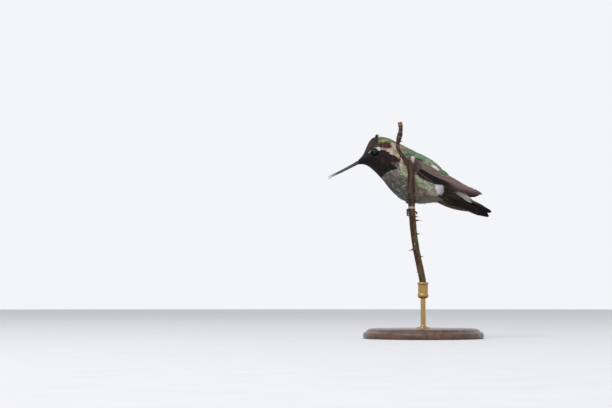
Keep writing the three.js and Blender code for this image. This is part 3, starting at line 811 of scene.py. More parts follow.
def scatter(count):
    """Even but unruled places where feathers grow, spacing() apart, out of count random ones."""
    tris = np.vstack([SKIN_QUADS[:, [0, 1, 2]], SKIN_QUADS[:, [0, 2, 3]]])
    a, b, c = (SKIN_VERTS[tris[:, k]] for k in range(3))
    area = np.linalg.norm(np.cross(b - a, c - a), axis=1)
    weight = area / spacing((a + b + c) / 3) ** 2
    picks = rng.choice(len(tris), count, p=weight / weight.sum())
    u, v = rng.random((2, count, 1))
    fold = (u + v) > 1
    u, v = np.where(fold, 1 - u, u), np.where(fold, 1 - v, v)
    places = a[picks] + u * (b[picks] - a[picks]) + v * (c[picks] - a[picks])
    places = places[feathered(places)]
    grid, kept = {}, []
    reach = range(-2, 3)
    around = [(i, j, k) for i in reach for j in reach for k in reach if i * i + j * j + k * k < 7]
    for index, (place, step) in enumerate(zip(places.tolist(), spacing(places).tolist())):
        x, y, z = place
        i, j, k = (int(v // SCATTER_CELL) for v in place)
        room = (step * CROWDED) ** 2
        near = (grid.get((i + di, j + dj, k + dk), ()) for di, dj, dk in around)
        if all((p - x) ** 2 + (q - y) ** 2 + (r - z) ** 2 > room for spots in near for p, q, r in spots):
            grid.setdefault((i, j, k), []).append(place)
            kept.append(index)
    return places[kept]


def follow(roots, ways, lengths, shares):
    """Places and normals along each vane, as it follows the skin from its root."""
    count, rings = len(roots), len(shares)
    places = np.empty((count, rings, 3))
    normals = np.empty((count, rings, 3))
    gaps = np.diff(shares, prepend=0.0)
    for n in range(count):
        at, way, length = Vector(roots[n]), Vector(ways[n]), float(lengths[n])
        for k in range(rings):
            at, normal, _, _ = SKIN_TREE.find_nearest(at + way * (length * gaps[k]))
            way = (way - normal * way.dot(normal)).normalized()
            places[n, k] = at
            normals[n, k] = normal
    return places, normals


def skin_normals(points):
    return np.array([SKIN_TREE.find_nearest(p)[1] for p in points])


def clear_of_eyes(roots, lengths):
    """Lengths cut short where a vane would cross the bare rim of an eye."""
    for share in (1.0, 0.8, 0.6, 0.45, 0.3):
        crosses = eye_distance(roots + lie(roots) * lengths[:, None]) < EYE_BARE
        lengths = np.where(crosses, lengths * share, lengths)
    return lengths


class Coat:
    """Many vanes or barbs of one kind, each a closed tube. It follows the skin from its root, or
    the path (places, outward ways) that is given."""

    def __init__(self, roots, lengths, halves, lifts=0.0, barbs=False, spread=0.07, thick=0.028, path=None):
        section = BARB_SECTION if barbs else VANE_SECTION
        self.roots, self.shares = roots, BARB_SHARES if barbs else VANE_SHARES
        self.u, rise = np.array(section).T
        if path is None:
            ways = lie(roots)
            sideways = np.cross(skin_normals(roots), ways)
            ways = unit(ways + sideways * rng.normal(0, spread, len(roots))[:, None])
            path = follow(roots, ways, lengths, self.shares)
        places, normals = path
        across = unit(np.cross(normals, unit(np.gradient(places, axis=1))))
        soft = smooth(from_bill(roots), 15, 22)[:, None]
        self.soft = soft[:, 0]
        settle = self.shares if barbs else np.sin(np.minimum(self.shares / 0.8, 1) * math.pi / 2)
        widths = BARB_WIDTHS if barbs else mix(VANE_WIDTHS, SOFT_WIDTHS, soft)
        lifts = np.broadcast_to(lifts, len(roots))[:, None]
        centres = places + normals * (lifts * (0.1 + 0.9 * settle))[..., None]
        wide = np.broadcast_to(halves, len(roots))[:, None] * widths
        wide = wide * rng.uniform(0.88, 1.12, (len(roots), len(self.shares)))
        out = across[:, :, None, :] * (wide[..., None] * self.u)[..., None]
        up = thick * rise - 0.16 * wide[..., None] * self.u**2
        self.points = centres[:, :, None, :] + out + normals[:, :, None, :] * up[..., None]

    def paint(self, rim_share=1.0):
        """A dark middle and a paler rim on each vane, in the colours of the skin it covers."""
        exposed = self.points[:, int(len(self.shares) * 0.65), :, :].mean(axis=1)
        middle, rim, vary = markings(exposed)
        edge = np.maximum(np.abs(self.u)[None, :] ** 2.2, smooth(self.shares, 0.74, 0.97)[:, None])
        edge = edge[None, :, :, None] * (rim_share * (1 - 0.35 * self.soft))[:, None, None, None]
        self.tint = self.varied(mix(middle[:, None, None, :], rim[:, None, None, :], edge), vary)

    def paint_plain(self, name):
        """One paint all over, from the middle's colour at the root to the rim's at the tip."""
        middle, rim, vary = PAINTS[name]
        tint = mix(linear(middle), linear(rim), self.shares[None, :, None, None])
        tint = np.broadcast_to(tint, self.points.shape)
        self.tint = self.varied(tint, np.full(len(self.roots), vary))

    def varied(self, tint, vary):
        bright = np.exp(rng.normal(0, 1, len(vary)) * vary)
        warm = 1 + rng.normal(0, 1, (len(vary), 3)) * vary[:, None] * 0.25
        return np.clip(tint * (bright[:, None] * warm)[:, None, None, :], 0, 1)

    def show(self, name, slot, look, chosen=slice(None)):
        """One joined mesh, with each vane's own patch of the bake's map at its root's place."""
        points, tint = self.points[chosen], self.tint[chosen]
        count, rings, around, _ = points.shape
        inside = np.broadcast_arrays(self.u[None, :] * 0.45, self.shares[:, None] * 0.9 - 0.45)
        patch = unwrap(self.roots[chosen])[:, None, None, :] + PATCH * np.stack(inside, -1)[None]
        vane = np.stack(np.broadcast_arrays(self.u[None, :], self.shares[:, None], 0.0), -1)
        vane = np.broadcast_to(vane[None], points.shape)
        verts, tint, patch, vane = (a.reshape(-1, a.shape[-1]) for a in (points, tint, patch, vane))
        quads = tube_quads(count, rings, around)
        make_piece(name, verts, quads, look, slot, tint=tint, patch=patch, vane=vane)


def show_regions(coat, prefix):
    """Shows a coat as one piece for each region of the body."""
    x, z, s, _, _ = side_view(coat.roots)
    throat = within(x, z, GORGET, 0.1) > 0.5
    head = (s < -17.5 + 0.25 * (z - 108)) & ~throat
    rest = ~throat & ~head
    regions = [
        ("gorget", throat, "gorget_feathers", GORGET_LOOK),
        ("head", head, "crown_feathers", HEAD_LOOK),
        ("breast", rest & (s < -4), "body_feathers", BODY_LOOK),
        ("trunk", rest & (s >= -4) & (s < 8), "body_feathers", BODY_LOOK),
        ("rear", rest & (s >= 8), "body_feathers", BODY_LOOK),
    ]
    for name, chosen, slot, look in regions:
        if chosen.any():
            coat.show(f"{prefix}_{name}", slot, look, chosen)


def fluffed(points):
    """How much further the plumage stands out where it is fluffed: over the back, on the rump, at
    the belly and under the tail."""
    s, h, _ = np.moveaxis(to_axis(points), -1, 0)
    back = 0.4 * smooth(h, 6, 9) * smooth(s, -12, -4) * (1 - smooth(s, 8, 9.5))
    rump = 1.1 * smooth(s, 10, 12.5) * (1 - smooth(s, 15, 18)) * smooth(h, 7.5, 9)
    belly = 0.35 * smooth(-h, 7, 10) * smooth(s, -12, -5) * (1 - smooth(s, 2, 6))
    under_tail = 0.65 * smooth(s, 16, 20) * smooth(-h, 2, 4.5)
    return back + rump + belly + under_tail


ROOT_TRIES = 150000
LAST_ROOT = 37.5  # along the axis: the rounded end under the tail is left to the end coverts
VANE_OVERLAP = 2.9  # a vane's length over its spacing
SHORTEST_VANE = 0.28


def make_plumage():
    roots = scatter(ROOT_TRIES)
    s = to_axis(roots)[:, 0]
    facing_back = np.sum(skin_normals(roots) * lie(roots), axis=1) > 0.8 - 0.5 * smooth(s, 30, 37)
    ends = (facing_back & (s > 20)) | (s > LAST_ROOT)
    roots, s = roots[~ends], s[~ends]
    lengths = spacing(roots) * VANE_OVERLAP * rng.uniform(0.88, 1.12, len(roots))
    under_tail = smooth(s, 15.5, 20)
    lengths = lengths * (1 - 0.6 * smooth(s, 33, 38)) * (1 + 0.9 * under_tail)
    lengths = clear_of_eyes(roots, lengths)
    kept = lengths > SHORTEST_VANE
    roots, lengths, under_tail = roots[kept], lengths[kept], under_tail[kept]
    steps = spacing(roots)
    lifts = np.minimum(coat_depth(roots), lengths * 0.4) * rng.uniform(0.8, 1.1, len(roots))
    coat = Coat(roots, lengths, steps * (0.78 - 0.2 * under_tail), lifts + fluffed(roots))
    coat.paint()
    show_regions(coat, "coat")
    make_loose_barbs(roots, steps)


BARBS_EACH = 7


def make_loose_barbs(roots, steps):
    """Hair-fine barbs that break the vanes' edges on the softer parts."""
    x, z, s, h, y = side_view(roots)
    glossy = (within(x, z, GORGET, 0.1) > 0.5) | (from_bill(roots) < 15) | on_wrist(s, h, y)
    soft = np.repeat(roots[~glossy], BARBS_EACH, axis=0)
    reach = np.repeat(steps[~glossy], BARBS_EACH)
    soft = soft + rng.normal(0, 0.33, soft.shape) * reach[:, None]
    lengths = reach * rng.uniform(1.6, 3.0, len(soft))
    lifts = coat_depth(soft) * rng.uniform(0.9, 1.5, len(soft))
    barbs = Coat(soft, lengths, reach * 0.06, lifts, barbs=True, spread=0.28, thick=0.045)
    barbs.paint(0.6)
    show_regions(barbs, "barbs")


# Patches of down: the name, its paint, the patch's middle and half widths in side view, its turn,
# whether it is on the left alone, its least distance from the middle plane, then how many barbs,
# their length and lift, and how far they spread.
DOWN = [
    ("flank_tuft", "white", (8.3, 89.2), (1.9, 3.1), 10, False, 0, 900, 2.6, 0.8, 0.22),
    ("wing_notch", "white", (6.4, 101.9), (2.8, 0.5), -29, False, 5.0, 220, 2.0, 0.6, 0.3),
    ("belly_down", "low belly", (3.0, 82.6), (7.0, 2.0), 0, False, 0, 1500, 2.8, 1.0, 0.35),
    ("tail_fringe", "soft band", (22.6, 85.8), (4.9, 1.5), -27, True, 0, 1000, 4.0, 1.2, 0.16),
]


def make_down():
    x, z, _, _, y = side_view(SKIN_VERTS)
    on_left = to_axis(SKIN_VERTS)[:, 2] < 0
    for name, paint, at, size, turn, left_only, beyond, count, length, lift, spread in DOWN:
        inside = (spot(x, z, at, size, turn) > 0.5) & (y > beyond) & (on_left | (not left_only))
        roots = SKIN_VERTS[rng.choice(np.flatnonzero(inside), count)]
        lengths = length * rng.uniform(0.7, 1.2, count)
        lifts = lift * rng.uniform(0.6, 1.2, count)
        down = Coat(roots, lengths, 0.055, lifts, barbs=True, spread=spread, thick=0.05)
        down.paint_plain(paint)
        down.show(name, "body_feathers", DOWN_LOOK)


TUFT_AT = -27.9  # along X, on top of the head
TUFT_COUNT = 12
TUFT_HALF = 0.28
TUFT_WAY = (0.3, -0.15, 1.0)


def make_tuft():
    """A few feathers that stand up on top of the head, where the forehead meets the crown."""
    x, y, z = SKIN_VERTS.T
    top = np.flatnonzero((np.abs(x - TUFT_AT) < 0.5) & (np.abs(y) < 1.3) & (z > 118))
    roots = SKIN_VERTS[rng.choice(top, TUFT_COUNT)]
    ways = unit(np.array(TUFT_WAY) + rng.normal(0, 0.13, roots.shape))
    lengths = rng.uniform(1.7, 2.7, TUFT_COUNT)
    along = (lengths[:, None] * VANE_SHARES)[..., None]
    places = roots[:, None, :] + ways[:, None, :] * along + ALONG * along**2 * 0.05
    faces = unit(-ACROSS + (0, 0, 0.1) + rng.normal(0, 0.4, roots.shape))
    path = places, np.broadcast_to(faces[:, None, :], places.shape)
    tuft = Coat(roots, lengths, TUFT_HALF, path=path)
    tuft.paint_plain("forehead")
    tuft.show("forehead_tuft", "crown_feathers", HEAD_LOOK)


make_plumage()
make_down()
make_tuft()


# ---- Flight feathers: long vanes laid side by side on the folded wings and on the tail ----

# The places round a feather's section in half widths: over its upper face, then back under it.
FLIGHT_U = np.array([-1.0, -0.72, -0.4, -0.14, 0.0, 0.14, 0.4, 0.72, 1.0, 0.55, 0.0, -0.55])
FLIGHT_TOP = 9  # of these places, how many lie on the upper face
FLIGHT_RINGS = 26
FLIGHT_THICK = 0.09
SHAFT_RISE = 0.1
FLIGHT_LOOK = feather_look("wing_feathers", 0.55, 0.15, 0.0)
TAIL_LOOK = feather_look("tail_feathers", 0.5, 0.15, 0.0)


def flight_vane(place, line, lead, trail, lift, shares):
    """A closed thin feather. line gives the shaft at shares of its length as (s, h), lead and trail
    its half widths on either side, and lift the height of its upper face at (share, offset)."""
    s, h = line(shares)
    ds, dh = np.gradient(s, shares), np.gradient(h, shares)
    size = np.hypot(ds, dh)
    wide = np.where(FLIGHT_U < 0, lead(shares)[:, None], trail(shares)[:, None])
    offset = FLIGHT_U * wide
    top = np.arange(len(FLIGHT_U)) < FLIGHT_TOP
    ridge = SHAFT_RISE * np.exp(-((FLIGHT_U / 0.12) ** 2)) * (1 - 0.75 * shares[:, None])
    height = lift(shares[:, None], offset) + np.where(top, ridge, -FLIGHT_THICK)
    flat_s = s[:, None] - offset * (dh / size)[:, None]
    flat_h = h[:, None] + offset * (ds / size)[:, None]
    return place(flat_s, flat_h, height)


def feather_width(shares, root=0.45, full=0.3, tip=0.16, point=2.2):
    """Half width along a feather as a share of the full one: narrow quill, rounded tip."""
    start = mix(root, 1.0, smooth(shares, 0.0, full))
    end = np.clip((shares - (1 - tip)) / tip, 0, 1)
    return start * np.sqrt(np.clip(1 - end**point, 0.0, 1)) + 0.03


def flight_colours(web, rim, root=None, dark=None, rim_from=0.6):
    """Linear colours over one feather: the web, a pale rim on both edges, a dark shaft, and a root
    colour where dark, one value for each ring, is 1."""
    edge = smooth(np.abs(FLIGHT_U), rim_from, 0.98)[None, :, None]
    colour = mix(linear(web)[None, None], linear(rim)[None, None], edge)
    if root is not None:
        root_rim = mix(linear(root), linear(rim), 0.06 * edge)
        colour = mix(colour, root_rim, dark[:, None, None])
    shaft = np.exp(-((FLIGHT_U / 0.1) ** 2))[None, :, None] * 0.5
    return mix(colour, colour * 0.5, shaft)


class Feathers:
    """Feathers gathered for one piece."""

    def __init__(self):
        self.points, self.colours, self.vanes = [], [], []

    def add(self, points, colours, shares):
        vane = np.stack(np.broadcast_arrays(FLIGHT_U[None, :], shares[:, None] * 4, 0.0), -1)
        self.points.append(points)
        self.colours.append(np.broadcast_to(colours, points.shape))
        self.vanes.append(vane)

    def show(self, name, slot, look, nodes=()):
        points = np.array(self.points)
        count, rings, around, _ = points.shape
        across = (np.arange(count)[:, None, None] + 0.5 + 0.45 * FLIGHT_U[None, None, :]) / count
        along = np.linspace(0.02, 0.98, rings)[None, :, None]
        patch = np.stack(np.broadcast_arrays(across, along), -1).reshape(-1, 2)
        verts, tint, vane = (np.reshape(a, (-1, 3)) for a in (points, self.colours, self.vanes))
        quads = tube_quads(count, rings, around)
        make_piece(name, verts, quads, look, slot, nodes, tint=tint, vane=vane, patch=patch)


# ---- Wings ----

BLADE_ROWS = 72
BLADE_COLUMNS = 14
WING_START = -3.6  # where the feathers begin under the coverts, along the axis
WING_RAISED = 1.0  # how far the tip bends up from the solids
WING_LOWERED = 3.0  # how far the upper edge lies below theirs over the back
WING_DEEPER = 2.4  # how far the lower edge lies below theirs over the flank
WING_CLEAR = 0.9  # the least height of the wing's outer face over the skin
WING_TUCKED = {LEFT: 0.0, RIGHT: 1.4}  # how much shorter each wing is folded
WING_LIFT = -0.12  # a feather's outer edge under the solids' outer face
WING_SHINGLE = 0.13  # how steeply each feather passes under its upper neighbour


class Blade:
    """The outer face of a folded wing: a smooth sheet through the outer side of its solids, in the
    body's axis frame with its roll undone. It is mirrored there, so that outwards is always +y."""

    def __init__(self, side):
        self.side = side
        parts = ("coverts", "secondaries", "primaries")
        self.nodes = [f"wing_{SIDE_NAMES[side]}_{part}" for part in parts]
        verts, tris = node_mesh(*self.nodes)
        verts = to_axis(verts, BODY_ROLL) * (1, 1, side)
        self.s = np.linspace(verts[:, 0].min() + 0.3, verts[:, 0].max() - 0.1, BLADE_ROWS)
        self.find_edges(verts, tris)
        wing = BVHTree.FromPolygons(verts.tolist(), tris.tolist())
        body = to_axis(SKIN_VERTS, BODY_ROLL) * (1, 1, side)
        body = BVHTree.FromPolygons(body.tolist(), SKIN_QUADS.tolist())
        over_body = self.outer_face(body, -np.inf) + WING_CLEAR
        self.y = self.evened(self.outer_face(wing, np.nan))
        for _ in range(12):
            self.y = np.maximum(self.y, over_body)
            self.y[1:-1] = (self.y[:-2] + 2 * self.y[1:-1] + self.y[2:]) / 4
            self.y[:, 1:-1] = (self.y[:, :-2] + 2 * self.y[:, 1:-1] + self.y[:, 2:]) / 4

    def find_edges(self, verts, tris):
        """The heights of the lower and the upper edge at each row, filled in where the solids have
        a gap between them."""
        rows, edges = [], []
        for row, s in enumerate(self.s):
            heights = cuts(verts, tris, 0, s)[:, 1]
            if len(heights):
                rows.append(row)
                edges.append((heights.min(), heights.max()))
        every = np.arange(BLADE_ROWS)
        self.low, self.high = (np.interp(every, rows, edge) for edge in np.transpose(edges))
        for edge in (self.low, self.high):
            edge[1:-1] = np.median([edge[:-2], edge[1:-1], edge[2:]], axis=0)
        self.high -= WING_LOWERED * (1 - smooth(self.s, 8, 26))
        self.low -= WING_DEEPER * smooth(self.s, -9, 3) * (1 - smooth(self.s, 9, 22))

    def outer_face(self, tree, missing):
        """How far out a surface lies at each row and column, or missing where there is none."""
        found = np.full((BLADE_ROWS, BLADE_COLUMNS), missing)
        for row, s in enumerate(self.s):
            for column in range(BLADE_COLUMNS):
                share = 0.04 + 0.92 * column / (BLADE_COLUMNS - 1)
                h = mix(self.low[row], self.high[row], share)
                hit = tree.ray_cast((s, h, 60.0), (0, 0, -1))[0]
                if hit:
                    found[row, column] = hit[2]
        return found

    def evened(self, columns):
        """A smooth curve along the wing through each column, which misses the odd stray value."""
        for column in columns.T:
            good = ~np.isnan(column)
            for _ in range(3):
                curve = np.polyfit(self.s[good] / 40, column[good], 6)
                fitted = np.polyval(curve, self.s / 40)
                good = good & (np.abs(column - fitted) < 0.3)
            column[:] = fitted
        return columns

    def edges(self, s):
        raised = WING_RAISED * smooth(s, 24, 40)
        return np.interp(s, self.s, self.low) + raised, np.interp(s, self.s, self.high) + raised

    def place(self, s, h, lift):
        """Points of the sheet at (s, h), standing off it by lift."""
        low, high = self.edges(s)
        across = np.clip((h - low) / (high - low), 0, 1) * (BLADE_COLUMNS - 1)
        row = np.clip((s - self.s[0]) / (self.s[1] - self.s[0]), 0, BLADE_ROWS - 1.001)
        i, j = row.astype(int), np.minimum(across.astype(int), BLADE_COLUMNS - 2)
        near = mix(self.y[i, j], self.y[i, j + 1], across - j)
        far = mix(self.y[i + 1, j], self.y[i + 1, j + 1], across - j)
        return from_axis(s, h, self.side * (mix(near, far, row - i) + lift), BODY_ROLL)


# The primaries, from the outermost at the wing's lower edge: the tip along the axis, the share of
# the wing's height there, how late the feather bends up to it, where along the axis the dark root
# gives way to the web, then the colours of the web, its pale rim and the root.
# Painted light: the upper primaries' paler pinkish-brown webs and rims are painted sheen, where light
# glances off the folded wing, and the near-black roots are the feathers' dusky colour darkened further by
# painted shade.
PRIMARIES = [
    (39.3, 0.36, 6.0, (9, 14), (58, 45, 43), (104, 84, 80), (66, 50, 47)),
    (40.2, 0.60, 4.5, (18, 27), (74, 58, 56), (104, 84, 81), (20, 16, 16)),
    (39.3, 0.75, 3.4, (17, 26), (92, 74, 72), (128, 106, 102), (14, 11, 11)),
    (37.8, 0.83, 2.6, (17, 24), (112, 92, 89), (150, 126, 121), (12, 9, 9)),
    (34.8, 0.86, 1.9, (16, 22), (120, 99, 96), (160, 136, 130), (12, 9, 9)),
    (31.0, 0.88, 1.7, (14.5, 20), (124, 102, 99), (168, 142, 136), (12, 9, 9)),
    (28.2, 0.90, 1.7, (13, 18), (124, 101, 98), (172, 146, 140), (13, 10, 10)),
    (25.6, 0.91, 1.7, (11, 15), (122, 98, 95), (176, 150, 143), (15, 12, 12)),
    (23.2, 0.92, 1.7, (11, 15), (120, 96, 92), (178, 152, 144), (18, 14, 14)),
    (21.0, 0.93, 1.7, (11, 15), (116, 92, 88), (180, 153, 145), (22, 17, 17)),
]  # fmt: skip
PRIMARY_ROOTS = np.linspace(0.0, 0.55, len(PRIMARIES))
# The secondaries over them: the tip along the axis, and shares of the height at root and tip.
SECONDARIES = [(16.5, 0.56, 0.66), (14.5, 0.68, 0.76), (12.5, 0.80, 0.86), (10.5, 0.92, 0.94)]
# Feathers that hang under the wing's lower edge: the tip along the axis and the share of height.
LOWER_COVERTS = [(10.8, -0.03), (9.2, 0.02), (7.4, 0.07), (5.4, 0.12)]
COVERT_ROWS = [
    # the row's tips along the axis, how far up the wing it reaches, how many, length, half width
    {"tip": -1.2, "from": 0.05, "to": 0.95, "count": 14, "length": 3.6, "half": 0.54},
    {"tip": -2.7, "from": 0.06, "to": 0.94, "count": 15, "length": 3.0, "half": 0.5},
]
# The secondaries' pale pinkish rims are partly their own pale edges and partly painted sheen.
WING_STRIPE = ((70, 53, 48), (218, 192, 176))  # web and rim
WING_COVERT = ((88, 72, 69), (138, 120, 114))
WING_UNDER = ((38, 29, 28), (146, 120, 114))


def make_wing(side):
    blade = Blade(side)
    feathers = Feathers()
    shares = 1 - (1 - np.linspace(0, 1, FLIGHT_RINGS)) ** 1.35

    def add_feather(start, tip, heights, widths, raised, colours, bend=1.5):
        """heights are shares of the wing's at root and tip. widths are each edge's half width, then
        the share of the length that its quill, its widening and its rounded tip take."""

        def line(t):
            s = mix(start, tip, t)
            low, high = blade.edges(s)
            return s, mix(low, high, mix(*heights, t**bend))

        def lift(_, offset):
            return WING_LIFT + raised - WING_SHINGLE * (offset + under)

        (lead_half, *lead_shape), (trail_half, *trail_shape), under = widths
        lead = lambda t: lead_half * feather_width(t, *lead_shape)
        trail = lambda t: trail_half * feather_width(t, *trail_shape)
        feathers.add(flight_vane(blade.place, line, lead, trail, lift, shares), colours, shares)

    for inner in reversed(range(len(PRIMARIES))):
        tip, tip_share, bend, turn, web, rim, root = PRIMARIES[inner]
        tip = tip - WING_TUCKED[side]
        half = 0.6 + 0.02 * inner
        widths = (half, 0.8, 0.2, 0.06), (2.1 * half, 0.6, 0.3, 0.1), half
        dark = 1 - smooth(mix(WING_START, tip, shares), *turn)
        colours = flight_colours(web, rim, root, dark)
        add_feather(WING_START, tip, (PRIMARY_ROOTS[inner], tip_share), widths, 0.0, colours, bend)

    for number, (tip, *heights) in enumerate(SECONDARIES):
        widths = (0.62, 0.8, 0.2, 0.16), (1.0, 0.7, 0.25, 0.2), 0.6
        colours = flight_colours(*WING_STRIPE, rim_from=0.3)
        add_feather(WING_START + 1, tip, heights, widths, 0.1 + 0.03 * number, colours, 1.3)

    for number, (tip, share) in enumerate(LOWER_COVERTS):
        widths = (0.5, 0.6, 0.3, 0.2), (0.5, 0.6, 0.3, 0.2), 0.5
        colours = flight_colours(*WING_UNDER, rim_from=0.45)
        add_feather(WING_START + 1, tip, (share, share), widths, 0.3 - 0.06 * number, colours)

    for row in COVERT_ROWS:
        shape = (row["half"], 0.7, 0.3, 0.3)
        for number in range(row["count"]):
            share = mix(row["from"], row["to"], number / (row["count"] - 1))
            tip = row["tip"] + 1.2 * math.sin(math.pi * share) + rng.uniform(-0.3, 0.3)
            colours = flight_colours(*WING_COVERT) * rng.uniform(0.75, 1.2)
            widths = shape, shape, row["half"]
            add_feather(tip - row["length"], tip, (share, share), widths, 0.2, colours)
    name = f"wing_{SIDE_NAMES[side]}_feathers"
    feathers.show(name, "wing_feathers", FLIGHT_LOOK, blade.nodes[1:])


# ---- Tail, and the feathers round its base ----

TAIL_ROOT = (22.4, -0.2)  # along the axis, and over it
TAIL_TILT = 0.04  # how far the tail rises along its length
TAIL_START = -6.0  # the quills begin inside the coverts
TAIL_REST = 0.3  # height of the middle feathers over the tail's plane
TAIL_STEP = 0.26  # each feather lies this far under its inner neighbour
# From the middle pair outwards: the length, how far out the shaft leaves the middle, the angle that
# it fans out at, and the half width.
TAIL_FEATHERS = [
    (25.0, 0.75, 0.3, 2.0), (26.4, 1.25, 0.6, 2.1), (27.2, 1.7, 0.7, 2.0), (25.4, 2.4, 0.3, 1.8),
    (22.4, 4.3, -1.8, 1.15),
]  # fmt: skip
TAIL_BLACK = (18, 15, 14)
TAIL_OLIVE = (74, 78, 50)
TAIL_LINE = (170, 136, 112)
TAIL_UP = from_axis(0, 1, 0, TAIL_ROLL) - AXIS_CENTRE


def on_tail(x, y, z, side, tilt=0.0):
    """Points of the tail: x behind its root, y out from its middle, and z over its plane, which
    rises by tilt along its length."""
    return from_axis(x + TAIL_ROOT[0], z + TAIL_ROOT[1] + x * tilt, side * y, TAIL_ROLL)


def make_tail(side):
    feathers = Feathers()
    shares = 1 - (1 - np.linspace(0, 1, FLIGHT_RINGS)) ** 1.3
    edge = smooth(FLIGHT_U, 0.72, 0.98)[None, :, None]
    dark_tip = smooth(shares, 0.72, 0.95)[:, None, None] * 0.8
    place = lambda x, y, z: on_tail(x, y, z, side, TAIL_TILT)
    for number, (length, out, fan, half) in enumerate(TAIL_FEATHERS):

        def line(t):
            x = mix(TAIL_START, length, t)
            return x, out * smooth(x, TAIL_START, 4.0) + x * math.tan(math.radians(fan))

        def lift(_, offset):
            return TAIL_REST - TAIL_STEP * number - (0.035 * offset**2 + 0.004 * offset)

        inner = lambda t: half * 0.95 * feather_width(t, 0.35, 0.45, 0.12, 2.6)
        outer = lambda t: half * 0.8 * feather_width(t, 0.35, 0.45, 0.16, 2.4)
        outermost = number == len(TAIL_FEATHERS) - 1
        base = TAIL_OLIVE if number == 0 or (outermost and side == LEFT) else TAIL_BLACK
        colour = mix(mix(linear(base), linear(TAIL_LINE), edge), linear(TAIL_BLACK), dark_tip)
        feathers.add(flight_vane(place, line, inner, outer, lift, shares), colour, shares)
    name = SIDE_NAMES[side]
    feathers.show(f"tail_{name}_feathers", "tail_feathers", TAIL_LOOK, [f"tail_{name}"])


# The lowest line under the tail, as (s, h). It is the bottom of a round form.
LOWER_LINE = [
    (8, -7.0), (14, -7.2), (19, -7.3), (24, -7.2), (28, -6.6), (31, -5.9), (34, -5.0), (38, -3.6),
]  # fmt: skip
LOWER_RADIUS = 4.2
# Long narrow coverts along that line: where each starts and ends along the axis, and how far round
# from the line it lies.
LONG_COVERTS = [
    (8.0, 38.0, 0.1), (9.0, 37.8, 0.8), (10.5, 37.2, 1.5), (12.5, 34.5, 2.3), (14.5, 30.5, 3.1),
]  # fmt: skip
# Wider coverts that fill the space between the line and the tail: where each ends along the axis,
# and how deep inside the line it lies.
INNER_COVERTS = [(36.5, 0.8), (36.8, 1.6), (37.0, 2.4), (37.2, 3.2), (37.2, 4.0), (37.0, 4.8)]
INNER_START = 20.0
LONG_COVERT = ((26, 22, 18), (168, 134, 110))  # web and rim


def on_lower_line(s, around, lift):
    """Points at s along the axis, a distance round from the lowest line and lift out from it."""
    turn = (around / LOWER_RADIUS)[..., None]
    out = -ABOVE * np.cos(turn) + ACROSS * np.sin(turn)
    middle = np.interp(s, *zip(*LOWER_LINE)) + LOWER_RADIUS
    centre = AXIS_CENTRE + s[..., None] * ALONG + middle[..., None] * ABOVE
    return centre + out * (LOWER_RADIUS + lift)[..., None]


def make_long_coverts():
    feathers = Feathers()
    shares = np.linspace(0, 1, FLIGHT_RINGS)

    def add_covert(line, half, lift, rim_from):
        points = flight_vane(on_lower_line, line, half, half, lift, shares)
        feathers.add(points, flight_colours(*LONG_COVERT, rim_from=rim_from), shares)

    for side in (LEFT, RIGHT):
        for number, (start, end, around) in enumerate(LONG_COVERTS):
            line = lambda t: (mix(start, end, t), side * (around + 0.6 * t**2))
            half = lambda t: 0.55 * feather_width(t, 0.3, 0.4, 0.2)
            lift = lambda _, offset: -0.04 * number - 0.25 * side * offset
            add_covert(line, half, lift, 0.55)
    for end, deep in INNER_COVERTS:
        line = lambda t: (mix(INNER_START, end, t), np.zeros_like(t))
        half = lambda t: 1.5 * feather_width(t, 0.3, 0.45, 0.2)
        lift = lambda _, offset: -deep - 0.1 * offset**2
        add_covert(line, half, lift, 0.8)
    feathers.show("long_coverts", "body_feathers", TAIL_LOOK)


# The parts of the fringe: the name, how many, their half width, and whether they are barbs.
BAND = [("strands", 620, 0.07, True), ("vanes", 44, 0.6, False)]
BAND_HEIGHT = -1.15  # of its tips over the tail's plane


def make_band(side):
    """The soft pale fringe that lies over the outer edge of the tail's base."""
    for kind, count, half, barbs in BAND:
        shares = BARB_SHARES if barbs else VANE_SHARES
        start = rng.uniform(3.0, 9.5, count)
        out = 2.0 + np.abs(rng.normal(1.2, 1.1, count))
        lengths = rng.uniform(2.6, 5.2, count)
        x = start[:, None] + lengths[:, None] * shares
        y = out[:, None] * (1 - 0.12 * shares) + rng.normal(0, 0.35, count)[:, None] * shares
        bow = np.sin(math.pi * np.minimum(shares + 0.15, 1))
        z = BAND_HEIGHT - rng.uniform(0.1, 0.9, count)[:, None] * bow
        places = on_tail(x, y, z, side)
        path = places, np.broadcast_to(-TAIL_UP, places.shape)
        halves = half * rng.uniform(0.7, 1.2, count)
        band = Coat(places[:, 0], lengths, halves, barbs=barbs, path=path)
        band.paint_plain("soft band")
        band.show(f"tail_band_{kind}_{SIDE_NAMES[side]}", "body_feathers", DOWN_LOOK)


# The end coverts: the name, which face of the tail they lie on, and where they start.
END_COVERTS = [("upper", 1, 24.0), ("under", -1, 25.5)]
END_COUNT = 170  # on each face
END_LIFT = 0.75  # of their tips off the tail's middle plane


def make_end_coverts():
    """Feathers from the blunt ends of the coverts down to the tail, over it and under it."""
    s, h, y = np.moveaxis(to_axis(SKIN_VERTS, TAIL_ROLL), -1, 0)
    middle = TAIL_ROOT[1] - TAIL_STEP * 2
    fall = smooth(VANE_SHARES, 0.0, 1.0)
    for name, face, start in END_COVERTS:
        ends = np.flatnonzero((s > start) & (s < LAST_ROOT - 1) & ((h - middle) * face > 0.4))
        picks = rng.choice(ends, END_COUNT)
        lengths = rng.uniform(4.0, 8.0, END_COUNT)
        tip = middle + face * (END_LIFT + rng.uniform(0, 0.5, END_COUNT))
        along = s[picks][:, None] + lengths[:, None] * VANE_SHARES
        height = mix(h[picks][:, None], tip[:, None], fall)
        across = y[picks][:, None] * (1 - 0.25 * fall)
        places = from_axis(along, height, across, TAIL_ROLL)
        path = places, np.broadcast_to(face * TAIL_UP, places.shape)
        halves = rng.uniform(0.45, 0.7, END_COUNT)
        coverts = Coat(SKIN_VERTS[picks], lengths, halves, path=path)
        coverts.paint()
        coverts.show(f"{name}_tail_coverts", "body_feathers", BODY_LOOK)


